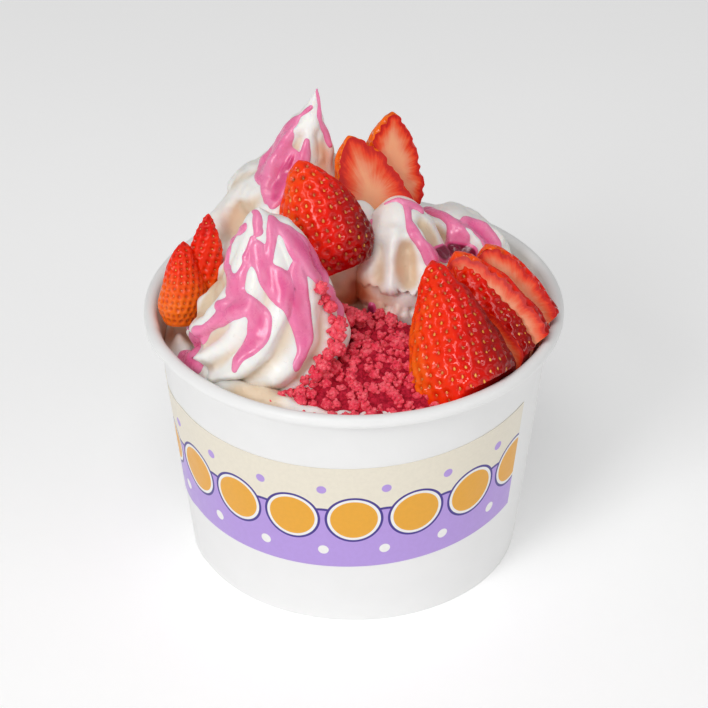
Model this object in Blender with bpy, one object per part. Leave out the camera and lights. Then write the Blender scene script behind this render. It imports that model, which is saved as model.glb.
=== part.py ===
"""Paper cup of soft-serve frozen yogurt: three piped peaks, a side curl, sliced strawberries, crumble."""
import math

import bmesh
import bpy
import numpy as np
from mathutils import Vector

MM = 0.001
TAU = 2 * math.pi

# Paper cup, in millimetres
RIM_RADIUS = 57.5
CUP_HEIGHT = 74.8
FOOT_RADIUS = 46.1
WALL_SLOPE = 0.1068
WALL = 0.6
CURL_RADIUS = 1.8
CURL_PAPER = 0.55
CURL_START = 180.0
CURL_END = -135.0
CURL_LEAD = 2.0
CURL_ROOT = 0.6
CURL_EASE = 0.05
CURL_STEPS = 8
HOLLOW_STEPS = 4
FOLD_GAP = 0.3
FLANGE_PAPER = 0.6
FLANGE_LOW = 1.0
FLANGE_TOP = 5.4
HEM_TOP = 4.6
FOOT_ROUND = 0.4
FOOT_EASE = 0.1
CUP_SIDES = 48

# Printed label round the wall, in millimetres and degrees
LABEL_RIGHT = -30.0
LABEL_LEFT = -195.0
LABEL_LOW = 20.6
LABEL_HIGH = 55.6
LABEL_RADIUS = 1.1 * FOOT_RADIUS
LABEL_TILT = 0.034
LABEL_BOW = 0.00057
LABEL_PAPER = 0.25
LABEL_GAP = 0.3

# Room kept between pieces that touch
PIECE_GAP = 0.5
WALL_GAP = 0.4
MIN_EDGE = 0.06
CLEAN_EDGES = (0.25, 0.12, 0.06, 0.03, 0.01, 0.004)
MOST_STRETCH = 1.8

# Height of the yogurt inside the cup, by compass angle in degrees
YOGURT_FLOOR = 6.6
YOGURT_CORNER = 1.5
YOGURT_CORNER_SHARE = 0.96
YOGURT_EDGE = (
    (-180, 62.5), (-150, 65.0), (-120, 69.0), (-90, 68.5), (-45, 66.0),
    (0, 65.5), (40, 67.0), (90, 67.0), (135, 65.0),
)
YOGURT_MIDDLE = 71.0
FOLD_HEIGHT = 1.1
FOLD_SPACING = 11.0
YOGURT_SIDES = 32
YOGURT_RINGS = (1.0, 0.93, 0.8, 0.62, 0.4)

# Piped peaks: base centre, height of each level, radius and sideways drift there; a twist above 1
# gathers the turn of the ridges low down
FRONT_PEAK = {
    "centre": (-23.5, -20.5),
    "levels": (
        (62, 13.5, 0.0, 0.0), (68, 16.5, 0.0, 0.0), (72, 19.0, 0.0, 0.0), (76.5, 20.4, 0.0, 0.0),
        (82, 19.2, 0.2, 0.2), (88, 16.6, 0.4, 0.4), (94, 13.4, 0.5, 0.9), (100, 9.8, 0.2, 1.6),
        (105, 6.8, -0.5, 2.2), (109, 4.4, -1.0, 2.8), (112, 2.4, -1.2, 3.2), (114, 0.0, -1.2, 3.4),
    ),
    "lobes": 10,
    "points_per_lobe": 4,
    "turn": 125.0,
    "twist": 1.8,
    "depth": 0.12,
    "start": -42.0,
}
BACK_PEAK = {
    "centre": (-16.0, 18.0),
    "levels": (
        (62, 24.6, 3.0, 3.0), (74, 27.0, 3.0, 3.0), (86, 26.2, 3.0, 3.0), (92, 24.0, 2.4, 2.4),
        (98, 20.2, 1.5, 1.5), (102, 16.8, 0.9, 0.8), (105, 12.4, 0.7, 0.3), (107, 9.8, 0.8, 0.0),
        (114, 7.6, 1.8, 0.0), (119, 5.0, 3.2, 0.0), (123, 2.8, 4.6, 0.0), (126.5, 1.3, 5.4, 0.0),
        (130, 0.0, 6.2, 0.0),
    ),
    "lobes": 8,
    "points_per_lobe": 4,
    "turn": 120.0,
    "twist": 1.0,
    "depth": 0.14,
    "start": 0.0,
}
RIGHT_PEAK = {
    "centre": (13.0, 2.5),
    "levels": (
        (64, 12.0, 0.0, 0.0), (70, 12.4, 0.0, 0.0), (76, 12.0, 0.0, 0.0), (78.5, 13.4, 0.0, 0.0),
        (84, 13.0, 0.0, 0.6), (90, 11.4, 0.0, 1.6), (95, 9.0, -0.2, 3.0), (98.5, 6.0, -0.6, 4.6),
        (100.6, 3.2, -0.9, 6.0), (101.8, 0.0, -1.0, 6.8),
    ),
    "lobes": 5,
    "points_per_lobe": 5,
    "turn": 60.0,
    "twist": 1.0,
    "depth": 0.12,
    "start": 40.0,
}
SIDE_CURL = {
    "centre": (27.5, 19.0),
    "levels": (
        (62, 13.5, 0.0, 0.0), (70, 15.6, 0.0, 0.0), (77, 15.8, 0.0, 0.0), (83, 13.6, -0.6, 0.0),
        (88, 9.8, -1.4, -0.4), (91, 5.2, -2.0, -0.8), (92.2, 0.0, -2.2, -1.0),
    ),
    "lobes": 5,
    "points_per_lobe": 5,
    "turn": 80.0,
    "twist": 1.0,
    "depth": 0.12,
    "start": 10.0,
}
WAVE_MIDDLE = 0.65
RIDGE_FADE = 0.4

# Strawberry pieces. Width and half depth are the whole berry's; the slab is the part of it that is
# kept, as two distances from its middle plane along the way its face looks
BERRIES = {
    "berry_right_half": {
        "stalk": (30.6, -37.6, 65.5),
        "tip": (20.6, -14.0, 96.0),
        "look": (-0.10, -0.80, 0.55),
        "width": 30.5,
        "half_depth": 13.0,
        "slab": (-2.0, 13.2),
        "taper": 1.3,
    },
    "berry_right_slice_near": {
        "stalk": (39.6, -29.0, 63.9),
        "tip": (26.3, -6.2, 91.1),
        "look": (-0.34, -0.72, 0.52),
        "width": 27.0,
        "half_depth": 5.2,
        "slab": (-0.4, 3.3),
        "taper": 1.6,
    },
    "berry_right_slice_mid": {
        "stalk": (44.2, -25.7, 64.6),
        "tip": (27.0, -4.0, 92.6),
        "look": (-0.30, -0.70, 0.62),
        "width": 28.0,
        "half_depth": 12.5,
        "slab": (-2.4, 2.4),
        "taper": 1.9,
    },
    "berry_right_slice_far": {
        "stalk": (47.2, -16.7, 65.6),
        "tip": (35.6, 2.5, 91.0),
        "look": (-0.22, -0.68, 0.68),
        "width": 25.0,
        "half_depth": 11.5,
        "slab": (-2.4, 2.4),
        "taper": 1.9,
    },
    "berry_centre_half": {
        "stalk": (-4.6, -3.5, 87.5),
        "tip": (-14.8, 6.0, 114.8),
        "look": (-0.22, -0.86, 0.42),
        "width": 25.5,
        "half_depth": 11.0,
        "slab": (-2.5, 11.2),
        "taper": 1.9,
    },
    "berry_back_half": {
        "stalk": (9.0, 8.0, 88.0),
        "tip": (-1.6, 17.0, 116.2),
        "look": (0.42, -0.80, 0.40),
        "width": 22.5,
        "half_depth": 10.5,
        "slab": (-9.0, 1.0),
        "taper": 1.9,
    },
    "berry_top_half": {
        "stalk": (9.2, 17.5, 91.0),
        "tip": (10.4, 24.6, 119.4),
        "look": (0.40, -0.84, 0.34),
        "width": 20.5,
        "half_depth": 10.0,
        "slab": (-8.5, 1.0),
        "taper": 1.9,
    },
    "berry_left_wedge": {
        "stalk": (-46.6, -5.0, 71.0),
        "tip": (-46.0, 2.5, 91.8),
        "look": (-0.20, -0.90, 0.38),
        "width": 12.6,
        "half_depth": 9.0,
        "slab": (-2.5, 9.2),
        "taper": 1.9,
    },
    "berry_left_slice": {
        "stalk": (-42.4, -1.0, 68.0),
        "tip": (-39.2, 6.0, 98.4),
        "look": (0.10, -0.90, 0.40),
        "width": 13.0,
        "half_depth": 3.8,
        "slab": (-2.4, 3.9),
        "taper": 1.9,
    },
}
BERRY_RINGS = 8
BERRY_SIDES = 12
STALK_END = 0.72
SHOULDER = 0.28
TIP_BLUNTNESS = 0.7
WIDEST = 0.95

# Crumble heap: centre, reach across and along, surface heights
HEAP_CENTRE = (2.0, -32.0)
HEAP_REACH = (27.0, 23.0)
HEAP_BOTTOM = 63.5
HEAP_FRONT = 69.5
HEAP_BACK = 78.0
HEAP_DOME = 3.0
HEAP_LUMPS = 0.9
HEAP_LUMP_WAVES = ((0.75, 0.2, 0.0), (-0.3, 0.6, 1.0))
HEAP_EDGE_WAVES = ((0.04, 5, 0.0), (0.03, 9, 1.0))
HEAP_INNER = 0.14
HEAP_RINGS = 4
HEAP_SIDES = 22

MATERIALS = {
    "paper": ((0.86, 0.86, 0.85), 0.5),
    "label": ((0.62, 0.52, 0.82), 0.5),
    "yogurt": ((0.88, 0.86, 0.80), 0.45),
    "strawberry": ((0.72, 0.06, 0.03), 0.3),
    "crumble": ((0.62, 0.10, 0.16), 0.75),
}


def clear_scene():
    for obj in list(bpy.data.objects):
        bpy.data.objects.remove(obj, do_unlink=True)


def material(name):
    made = bpy.data.materials.get(name) or bpy.data.materials.new(name)
    colour, roughness = MATERIALS[name]
    made.use_nodes = True
    shader = made.node_tree.nodes["Principled BSDF"]
    shader.inputs["Base Color"].default_value = (*colour, 1)
    shader.inputs["Roughness"].default_value = roughness
    shader.inputs["Metallic"].default_value = 0
    return made


def add_object(name, bm, material_name, smooth=True):
    """Adds a mesh given in millimetres as a named object in metres."""
    bmesh.ops.remove_doubles(bm, verts=bm.verts, dist=MIN_EDGE)
    bmesh.ops.dissolve_degenerate(bm, edges=bm.edges, dist=MIN_EDGE)
    bmesh.ops.triangulate(bm, faces=bm.faces)
    bmesh.ops.recalc_face_normals(bm, faces=bm.faces)
    bmesh.ops.scale(bm, vec=(MM, MM, MM), verts=bm.verts)
    for face in bm.faces:
        face.smooth = smooth
    mesh = bpy.data.meshes.new(name)
    bm.to_mesh(mesh)
    bm.free()
    obj = bpy.data.objects.new(name, mesh)
    obj.data.materials.append(material(material_name))
    bpy.context.scene.collection.objects.link(obj)
    return obj


def loft(rings, closed_path=False):
    """Joins equal rings of points in order. A ring of one point ends the shape in a tip."""
    bm = bmesh.new()
    made = [[bm.verts.new(point) for point in ring] for ring in rings]
    pairs = list(zip(made, made[1:]))
    if closed_path:
        pairs.append((made[-1], made[0]))
    for lower, upper in pairs:
        count = max(len(lower), len(upper))
        for k in range(count):
            after = (k + 1) % count
            if len(lower) == 1:
                bm.faces.new((lower[0], upper[after], upper[k]))
            elif len(upper) == 1:
                bm.faces.new((lower[k], lower[after], upper[0]))
            else:
                bm.faces.new((lower[k], lower[after], upper[after], upper[k]))
    if not closed_path:
        for ring in (made[0], made[-1]):
            if len(ring) > 2:
                bm.faces.new(ring)
    bmesh.ops.recalc_face_normals(bm, faces=bm.faces)
    return bm


def circle(radius, height, sides=CUP_SIDES):
    return [
        (radius * math.cos(TAU * k / sides), radius * math.sin(TAU * k / sides), height)
        for k in range(sides)
    ]


def wall_radius(height):
    return FOOT_RADIUS + WALL_SLOPE * height


# ---------------------------------------------------------------- cup
def cup_wall():
    """Conical side wall, its top curled outwards and its foot folded in and up."""
    curl_r = RIM_RADIUS - CURL_RADIUS
    curl_z = CUP_HEIGHT - CURL_RADIUS
    curl_from = math.radians(CURL_START)
    curl_to = math.radians(CURL_END)
    inner_curl = CURL_RADIUS - CURL_PAPER
    outside = [
        (curl_r + CURL_RADIUS * math.cos(a), curl_z + CURL_RADIUS * math.sin(a))
        for a in np.linspace(curl_from, curl_to, CURL_STEPS)
    ]
    inside = [
        (curl_r + inner_curl * math.cos(a), curl_z + inner_curl * math.sin(a))
        for a in np.linspace(curl_to, curl_from, HOLLOW_STEPS)
    ]
    wall_end = curl_z - CURL_LEAD
    curl_root = curl_z - CURL_ROOT * CURL_RADIUS
    hem_out = FOOT_RADIUS - WALL - 2 * FOLD_GAP - FLANGE_PAPER
    hem_in = hem_out - WALL
    profile = [(wall_radius(0) - WALL - FOOT_EASE, WALL), (wall_radius(wall_end) - WALL, wall_end)]
    profile += outside + inside
    profile += [
        (wall_radius(curl_root) - CURL_EASE, curl_root),
        (wall_radius(0), FOOT_ROUND),
        (wall_radius(0) - FOOT_ROUND, 0),
        (hem_in + FOOT_ROUND, 0),
        (hem_in, FOOT_ROUND),
        (hem_in + WALL_SLOPE * HEM_TOP, HEM_TOP),
        (hem_out + WALL_SLOPE * HEM_TOP, HEM_TOP),
        (hem_out, WALL),
    ]
    bm = loft([circle(r, z) for r, z in profile], closed_path=True)
    return add_object("cup_wall", bm, "paper")


def cup_bottom():
    """Disc set up inside the foot, with a flange turned down into the wall's fold."""
    outer = FOOT_RADIUS - WALL - FOLD_GAP
    inner = outer - FLANGE_PAPER
    profile = [
        (inner + WALL_SLOPE * FLANGE_LOW, FLANGE_LOW),
        (outer + WALL_SLOPE * FLANGE_LOW, FLANGE_LOW),
        (outer + WALL_SLOPE * FLANGE_TOP, FLANGE_TOP + WALL),
    ]
    underside = (inner + WALL_SLOPE * FLANGE_TOP, FLANGE_TOP)
    rings = [[(0, 0, FLANGE_TOP)], circle(*underside)]
    rings += [circle(r, z) for r, z in profile]
    rings.append([(0, 0, FLANGE_TOP + WALL)])
    return add_object("cup_bottom", loft(rings), "paper", smooth=False)


def label_lift(angle):
    """How far the label's edges rise at an angle from its middle, which faces the front."""
    along = math.radians(angle + 90) * LABEL_RADIUS
    return LABEL_TILT * along + LABEL_BOW * along * along


def cup_label():
    """Thin printed band standing just off the wall."""
    step = 360 / CUP_SIDES
    inside = [k * step for k in range(-CUP_SIDES, 1) if LABEL_LEFT < k * step < LABEL_RIGHT]
    rings = []
    for angle in [LABEL_LEFT] + inside + [LABEL_RIGHT]:
        a = math.radians(angle)
        lift = label_lift(angle)
        ring = []
        for height, out in ((LABEL_LOW, 0), (LABEL_LOW, 1), (LABEL_HIGH, 1), (LABEL_HIGH, 0)):
            z = height + lift
            r = wall_radius(z) + LABEL_GAP + out * LABEL_PAPER
            ring.append((r * math.cos(a), r * math.sin(a), z))
        rings.append(ring)
    return add_object("cup_label", loft(rings), "label", smooth=False)


# ---------------------------------------------------------------- yogurt
def smooth_between(table, angle):
    """Value at an angle in a table of (degrees, value) that goes round once, eased between entries."""
    points = list(table) + [(table[0][0] + 360, table[0][1])]
    angle = (angle - points[0][0]) % 360 + points[0][0]
    for (a0, v0), (a1, v1) in zip(points, points[1:]):
        if a0 <= angle <= a1:
            share = (angle - a0) / (a1 - a0)
            return v0 + (v1 - v0) * (3 - 2 * share) * share * share
    return points[-1][1]


def yogurt_height(x, y):
    """Surface of the yogurt under the peaks, laid down in a flat spiral fold."""
    angle = math.atan2(y, x)
    edge = smooth_between(YOGURT_EDGE, math.degrees(angle))
    reach = min(math.hypot(x, y) / (wall_radius(edge) - WALL), 1)
    middle = YOGURT_MIDDLE + (edge - YOGURT_MIDDLE) * reach**2
    return middle + FOLD_HEIGHT * math.cos(TAU * math.hypot(x, y) / FOLD_SPACING + angle)


def yogurt_base():
    inset = WALL + WALL_GAP
    low_edge = wall_radius(YOGURT_FLOOR) - inset
    rings = [
        circle(YOGURT_CORNER_SHARE * low_edge, YOGURT_FLOOR, YOGURT_SIDES),
        circle(low_edge, YOGURT_FLOOR + YOGURT_CORNER, YOGURT_SIDES),
    ]
    for share in YOGURT_RINGS:
        ring = []
        for k in range(YOGURT_SIDES):
            a = TAU * k / YOGURT_SIDES
            edge = wall_radius(smooth_between(YOGURT_EDGE, math.degrees(a))) - inset
            x = share * edge * math.cos(a)
            y = share * edge * math.sin(a)
            ring.append((x, y, yogurt_height(x, y)))
        rings.append(ring)
    rings.append([(0, 0, yogurt_height(0, 0))])
    return add_object("yogurt_base", loft(rings), "yogurt")


def peak(name, spec):
    """A dollop from a star nozzle: rounded ridges that wind up round a leaning peak."""
    lobes = spec["lobes"]
    count = lobes * spec["points_per_lobe"]
    bottom = spec["levels"][0][0]
    top = spec["levels"][-1][0]
    rings = []
    for height, radius, drift_x, drift_y in spec["levels"]:
        x0 = spec["centre"][0] + drift_x
        y0 = spec["centre"][1] + drift_y
        if radius == 0:
            rings.append([(x0, y0, height)])
            continue
        share = (height - bottom) / (top - bottom)
        turn = math.radians(spec["start"] + spec["turn"] * (1 - (1 - share) ** spec["twist"]))
        depth = spec["depth"] * min(1, (1 - share) / RIDGE_FADE)
        ring = []
        for k in range(count):
            a = TAU * k / count
            wave = abs(math.cos(0.5 * lobes * a))
            r = radius * (1 + depth * (wave - WAVE_MIDDLE))
            ring.append((x0 + r * math.cos(a + turn), y0 + r * math.sin(a + turn), height))
        rings.append(ring)
    return add_object(name, loft(rings), "yogurt")


# ---------------------------------------------------------------- strawberries
def berry_width(taper, share):
    """Half width of a whole berry, about 1 at the widest, at a share of its length from stalk end to tip."""
    shoulder = STALK_END + (1 - STALK_END) * math.sin(0.5 * math.pi * min(share / SHOULDER, 1))
    return shoulder * (1 - share**taper) ** TIP_BLUNTNESS / WIDEST


def berry(name, spec):
    """A strawberry cut lengthwise: the slab of it between two planes square to the way its face looks."""
    stalk = Vector(spec["stalk"])
    tip = Vector(spec["tip"])
    along = (tip - stalk).normalized()
    face = Vector(spec["look"])
    face = (face - face.dot(along) * along).normalized()
    side = along.cross(face)
    rings = []
    for i in range(BERRY_RINGS):
        share = math.sin(0.5 * math.pi * i / BERRY_RINGS)
        half = berry_width(spec["taper"], share)
        middle = stalk.lerp(tip, share)
        rings.append([
            tuple(
                middle
                + side * (0.5 * spec["width"] * half * math.cos(TAU * k / BERRY_SIDES))
                + face * (spec["half_depth"] * half * math.sin(TAU * k / BERRY_SIDES))
            )
            for k in range(BERRY_SIDES)
        ])
    rings.append([tuple(tip)])
    bm = loft(rings)
    for offset, out in ((spec["slab"][0], -face), (spec["slab"][1], face)):
        everything = bm.verts[:] + bm.edges[:] + bm.faces[:]
        cut = bmesh.ops.bisect_plane(
            bm, geom=everything, plane_co=stalk + face * offset, plane_no=out, clear_outer=True
        )
        rim = [item for item in cut["geom_cut"] if isinstance(item, bmesh.types.BMEdge)]
        if rim:
            bmesh.ops.contextual_create(bm, geom=rim)
    return add_object(name, bm, "strawberry")


# ---------------------------------------------------------------- crumble
def crumble_height(x, y):
    reach_x = (x - HEAP_CENTRE[0]) / HEAP_REACH[0]
    reach_y = (y - HEAP_CENTRE[1]) / HEAP_REACH[1]
    slope = HEAP_FRONT + (HEAP_BACK - HEAP_FRONT) * 0.5 * (1 + reach_y)
    dome = HEAP_DOME * max(0, 1 - reach_x**2 - reach_y**2)
    lumps = math.prod(math.sin(a * x + b * y + c) for a, b, c in HEAP_LUMP_WAVES)
    return slope + dome + HEAP_LUMPS * lumps


def crumble_heap():
    rings = [[(*HEAP_CENTRE, HEAP_BOTTOM)]]
    shares = [1.0] + list(np.linspace(1.0, HEAP_INNER, HEAP_RINGS))
    for i, share in enumerate(shares):
        ring = []
        for k in range(HEAP_SIDES):
            a = TAU * k / HEAP_SIDES
            uneven = 1 + sum(size * math.sin(waves * a + c) for size, waves, c in HEAP_EDGE_WAVES)
            x = HEAP_CENTRE[0] + share * uneven * HEAP_REACH[0] * math.cos(a)
            y = HEAP_CENTRE[1] + share * uneven * HEAP_REACH[1] * math.sin(a)
            ring.append((x, y, HEAP_BOTTOM if i == 0 else crumble_height(x, y)))
        rings.append(ring)
    rings.append([(*HEAP_CENTRE, crumble_height(*HEAP_CENTRE))])
    return add_object("crumble_heap", loft(rings), "crumble")


# ---------------------------------------------------------------- fitting the pieces together
def cup_room():
    """The room inside the wall, carried on above the rim."""
    high = 2 * CUP_HEIGHT
    inset = WALL + WALL_GAP
    bm = loft([circle(wall_radius(0) - inset, 0), circle(wall_radius(high) - inset, high)])
    return add_object("cup_room", bm, "paper", smooth=False)


def grown(obj, by):
    """A copy of a piece with every face moved outwards."""
    bm = bmesh.new()
    bm.from_mesh(obj.data)
    bm.normal_update()
    moves = []
    for vert in bm.verts:
        stretch = min(vert.calc_shell_factor(), MOST_STRETCH)
        moves.append((vert, vert.normal * by * MM * stretch))
    for vert, move in moves:
        vert.co += move
    mesh = bpy.data.meshes.new(obj.name + "_room")
    bm.to_mesh(mesh)
    bm.free()
    cutter = bpy.data.objects.new(mesh.name, mesh)
    bpy.context.scene.collection.objects.link(cutter)
    return cutter


def boxes_meet(one, other):
    a = np.array([one.matrix_world @ v.co for v in one.data.vertices])
    b = np.array([other.matrix_world @ v.co for v in other.data.vertices])
    return bool((a.min(0) < b.max(0)).all() and (b.min(0) < a.max(0)).all())


def largest_body(bm):
    """Keeps only the largest body joined edge to edge."""
    left = set(bm.faces)
    bodies = []
    while left:
        stack = [left.pop()]
        body = list(stack)
        while stack:
            for edge in stack.pop().edges:
                for face in edge.link_faces:
                    if face in left:
                        left.remove(face)
                        body.append(face)
                        stack.append(face)
        bodies.append(body)
    bodies.sort(key=len, reverse=True)
    bmesh.ops.delete(bm, geom=[face for body in bodies[1:] for face in body], context="FACES")


def fit(obj, cutters, room):
    """Cuts a piece back to the room inside the cup and clear of the pieces already placed."""
    steps = [(room, "INTERSECT")] if obj.name != "yogurt_base" else []
    steps += [(cutter, "DIFFERENCE") for cutter in cutters if boxes_meet(obj, cutter)]
    for other, operation in steps:
        boolean = obj.modifiers.new(other.name, "BOOLEAN")
        boolean.operation = operation
        boolean.solver = "EXACT"
        boolean.object = other
    graph = bpy.context.evaluated_depsgraph_get()
    fitted = bpy.data.meshes.new_from_object(obj.evaluated_get(graph))
    obj.modifiers.clear()
    for least in CLEAN_EDGES:
        bm = bmesh.new()
        bm.from_mesh(fitted)
        bmesh.ops.remove_doubles(bm, verts=bm.verts, dist=least * MM)
        bmesh.ops.dissolve_degenerate(bm, edges=bm.edges, dist=least * MM)
        largest_body(bm)
        bmesh.ops.triangulate(bm, faces=bm.faces)
        if all(item.is_manifold for item in bm.edges[:] + bm.verts[:]):
            break
        bm.free()
    for face in bm.faces:
        face.smooth = True
    bm.to_mesh(obj.data)
    bm.free()


def fill_cup():
    room = cup_room()
    pieces = [berry(name, spec) for name, spec in BERRIES.items()]
    pieces.append(peak("peak_front", FRONT_PEAK))
    pieces.append(peak("peak_right", RIGHT_PEAK))
    pieces.append(peak("peak_back", BACK_PEAK))
    pieces.append(peak("curl_side", SIDE_CURL))
    pieces.append(crumble_heap())
    pieces.append(yogurt_base())
    cutters = [grown(piece, PIECE_GAP) for piece in pieces]
    for place, piece in enumerate(pieces):
        fit(piece, cutters[:place], room)
    for helper in cutters + [room]:
        bpy.data.objects.remove(helper, do_unlink=True)


clear_scene()
cup_wall()
cup_bottom()
cup_label()
fill_cup()
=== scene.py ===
"""Cup of frozen yogurt with strawberries and crumble: every surface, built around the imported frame."""

import math

import bmesh
import bpy
import numpy as np
from mathutils import Matrix, Vector


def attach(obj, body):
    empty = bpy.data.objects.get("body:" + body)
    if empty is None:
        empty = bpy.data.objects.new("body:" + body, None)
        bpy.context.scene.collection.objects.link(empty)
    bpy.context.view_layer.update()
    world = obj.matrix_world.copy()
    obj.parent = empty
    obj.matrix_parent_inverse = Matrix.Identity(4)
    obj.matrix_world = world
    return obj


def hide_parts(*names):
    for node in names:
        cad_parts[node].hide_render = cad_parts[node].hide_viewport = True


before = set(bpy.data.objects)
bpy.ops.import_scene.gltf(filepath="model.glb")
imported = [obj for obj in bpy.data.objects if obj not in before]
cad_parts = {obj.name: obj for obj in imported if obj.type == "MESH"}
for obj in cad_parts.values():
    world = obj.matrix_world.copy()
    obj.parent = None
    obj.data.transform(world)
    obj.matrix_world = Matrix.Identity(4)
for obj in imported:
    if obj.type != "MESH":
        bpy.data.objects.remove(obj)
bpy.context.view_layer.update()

MM = 0.001
TAU = 2 * math.pi
BODY = "root"

# Paper cup, in millimetres
RIM_RADIUS = 57.5
CUP_HEIGHT = 74.8
FOOT_RADIUS = 46.1
WALL_SLOPE = 0.1068
WALL = 0.6
CURL_RADIUS = 1.8
CURL_PAPER = 0.5
FOLD_GAP = 0.3
FLANGE_PAPER = 0.6
FLANGE_TOP = 5.4
HEM_TOP = 4.6
FOOT_ROUND = 0.4
CUP_SIDES = 224
SEAM_ANGLE = -166.0
SEAM_WIDTH = 8.5
SEAM_STEP = 0.28

# Printed band, in millimetres and degrees
LABEL_RIGHT = -30.0
LABEL_LEFT = -195.0
LABEL_LOW = 20.6
LABEL_HIGH = 55.6
LABEL_RADIUS = 1.1 * FOOT_RADIUS
LABEL_TILT = 0.034
LABEL_BOW = 0.00057
LABEL_PAPER = 0.14

# Yogurt inside the cup
YOGURT_FLOOR = 6.6
YOGURT_EDGE = (
    (-180, 62.5), (-150, 65.0), (-120, 69.0), (-90, 68.5), (-45, 66.0),
    (0, 65.5), (40, 67.0), (90, 67.0), (135, 65.0),
)
YOGURT_MIDDLE = 71.0
FOLD_HEIGHT = 1.1
FOLD_SPACING = 11.0
YOGURT_GAP = 0.15

# Piped peaks: base centre, (height, radius, drift across, drift along) at each level
FRONT_PEAK = {
    "centre": (-23.5, -20.5),
    "levels": (
        (62, 13.5, 0.0, 0.0), (68, 16.5, 0.0, 0.0), (72, 19.0, 0.0, 0.0), (76.5, 20.4, 0.0, 0.0),
        (82, 19.2, 0.2, 0.2), (88, 16.6, 0.4, 0.4), (94, 13.4, 0.5, 0.9), (100, 9.8, 0.2, 1.6),
        (105, 6.8, -0.5, 2.2), (109, 4.4, -1.0, 2.8), (112, 2.4, -1.2, 3.2), (114, 0.0, -1.2, 3.4),
    ),
    "lobes": 10,
    "turn": 125.0,
    "twist": 2.6,
    "depth": 0.17,
    "start": -42.0,
    "fade": 0.4,
    "seed": 3,
    "lips": ((-163, 80.5, 13, 5.0, 2.2),),
    "folds": (
        (3.2, ((10, 107.0, 6.0), (-4, 102.0, 7.5), (-10, 96.0, 7.0))),
        (-3.2, ((170, 96.0, 4.0), (178, 91.5, 5.5), (-176, 88.0, 4.5))),
        (1.4, ((-122, 92.0, 1.8), (-140, 88.0, 2.2), (-158, 83.0, 2.4))),
        (0.9, ((-100, 92.0, 3.0), (-100, 87.0, 3.0), (-108, 81.0, 2.4))),
        (-0.9, ((-128, 88.0, 1.6), (-138, 84.0, 2.0), (-146, 80.0, 2.2))),
    ),
}
BACK_PEAK = {
    "centre": (-16.0, 18.0),
    "levels": (
        (62, 24.6, 3.0, 3.0), (74, 27.0, 3.0, 3.0), (86, 26.2, 3.0, 3.0), (92, 24.0, 2.4, 2.4),
        (98, 20.2, 1.5, 1.5), (102, 16.8, 0.9, 0.8), (105, 12.4, 0.7, 0.3), (107, 9.8, 0.8, 0.0),
        (114, 7.6, 1.8, 0.0), (119, 5.0, 3.2, 0.0), (123, 2.8, 4.6, 0.0), (126.5, 1.3, 5.4, 0.0),
        (130, 0.0, 6.2, 0.0),
    ),
    "lobes": 8,
    "turn": 120.0,
    "depth": 0.16,
    "start": 0.0,
    "fade": 0.5,
    "sauce": 0.35,
    "seed": 5,
    "folds": (
        (-1.6, ((-113, 118.0, 2.0), (-110, 114.5, 2.4), (-108, 111.0, 2.2))),
        (1.3, ((-130, 119.0, 1.4), (-142, 113.0, 1.8), (-140, 108.0, 2.0), (-128, 104.0, 1.8))),
        (-1.5, ((-40, 117.0, 2.2), (-38, 113.5, 2.8), (-42, 110.0, 2.6))),
        (-2.4, ((-152, 98.0, 4.0), (-148, 96.0, 5.0), (-144, 95.0, 4.0))),
    ),
}
RIGHT_PEAK = {
    "centre": (13.0, 2.5),
    "levels": (
        (64, 12.0, 0.0, 0.0), (70, 12.4, 0.0, 0.0), (76, 12.0, 0.0, 0.0), (78.5, 13.4, 0.0, 0.0),
        (84, 13.0, 0.0, 0.6), (90, 11.4, 0.0, 1.6), (95, 9.0, -0.2, 3.0), (98.5, 6.0, -0.6, 4.6),
        (100.6, 3.2, -0.9, 6.0), (101.8, 0.0, -1.0, 6.8),
    ),
    "lobes": 5,
    "turn": 60.0,
    "depth": 0.10,
    "start": 40.0,
    "fade": 0.3,
    "seed": 8,
    "lips": ((-100, 83.5, 38, 5.0, 2.4),),
    "folds": (
        (1.6, ((-104, 97.0, 2.4), (-105, 93.0, 1.8), (-104, 89.0, 2.0), (-102, 85.0, 2.4))),
        (-1.9, ((-128, 93.0, 2.8), (-126, 90.0, 3.0), (-124, 86.5, 2.4))),
        (-3.2, ((-82, 93.5, 2.4), (-82, 90.0, 3.4), (-80, 86.5, 3.2))),
        (-2.6, ((-30, 97.0, 3.0), (-24, 94.0, 3.6), (-20, 91.0, 3.0))),
        (0.9, ((-56, 97.5, 1.6), (-50, 94.0, 1.6), (-42, 90.0, 1.6))),
    ),
}
SIDE_CURL = {
    "centre": (27.5, 19.0),
    "levels": (
        (62, 13.5, 0.0, 0.0), (70, 15.6, 0.0, 0.0), (77, 15.8, 0.0, 0.0), (83, 13.6, -0.6, 0.0),
        (88, 9.8, -1.4, -0.4), (91, 5.2, -2.0, -0.8), (92.2, 0.0, -2.2, -1.0),
    ),
    "lobes": 5,
    "turn": 80.0,
    "depth": 0.10,
    "start": 10.0,
    "fade": 0.3,
    "seed": 13,
    "folds": (
        (-2.6, ((-120, 90.0, 2.4), (-95, 87.5, 3.0), (-80, 86.0, 3.2))),
        (1.7, ((-100, 91.8, 1.2), (-66, 90.6, 1.4), (-52, 88.0, 1.5), (-50, 85.0, 1.6))),
        (1.2, ((-40, 91.6, 1.2), (-14, 88.0, 1.6), (-14, 84.0, 1.8))),
        (-0.9, ((-32, 89.5, 2.0), (-32, 86.0, 2.6))),
    ),
}
WAVE_MIDDLE = 0.65

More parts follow.
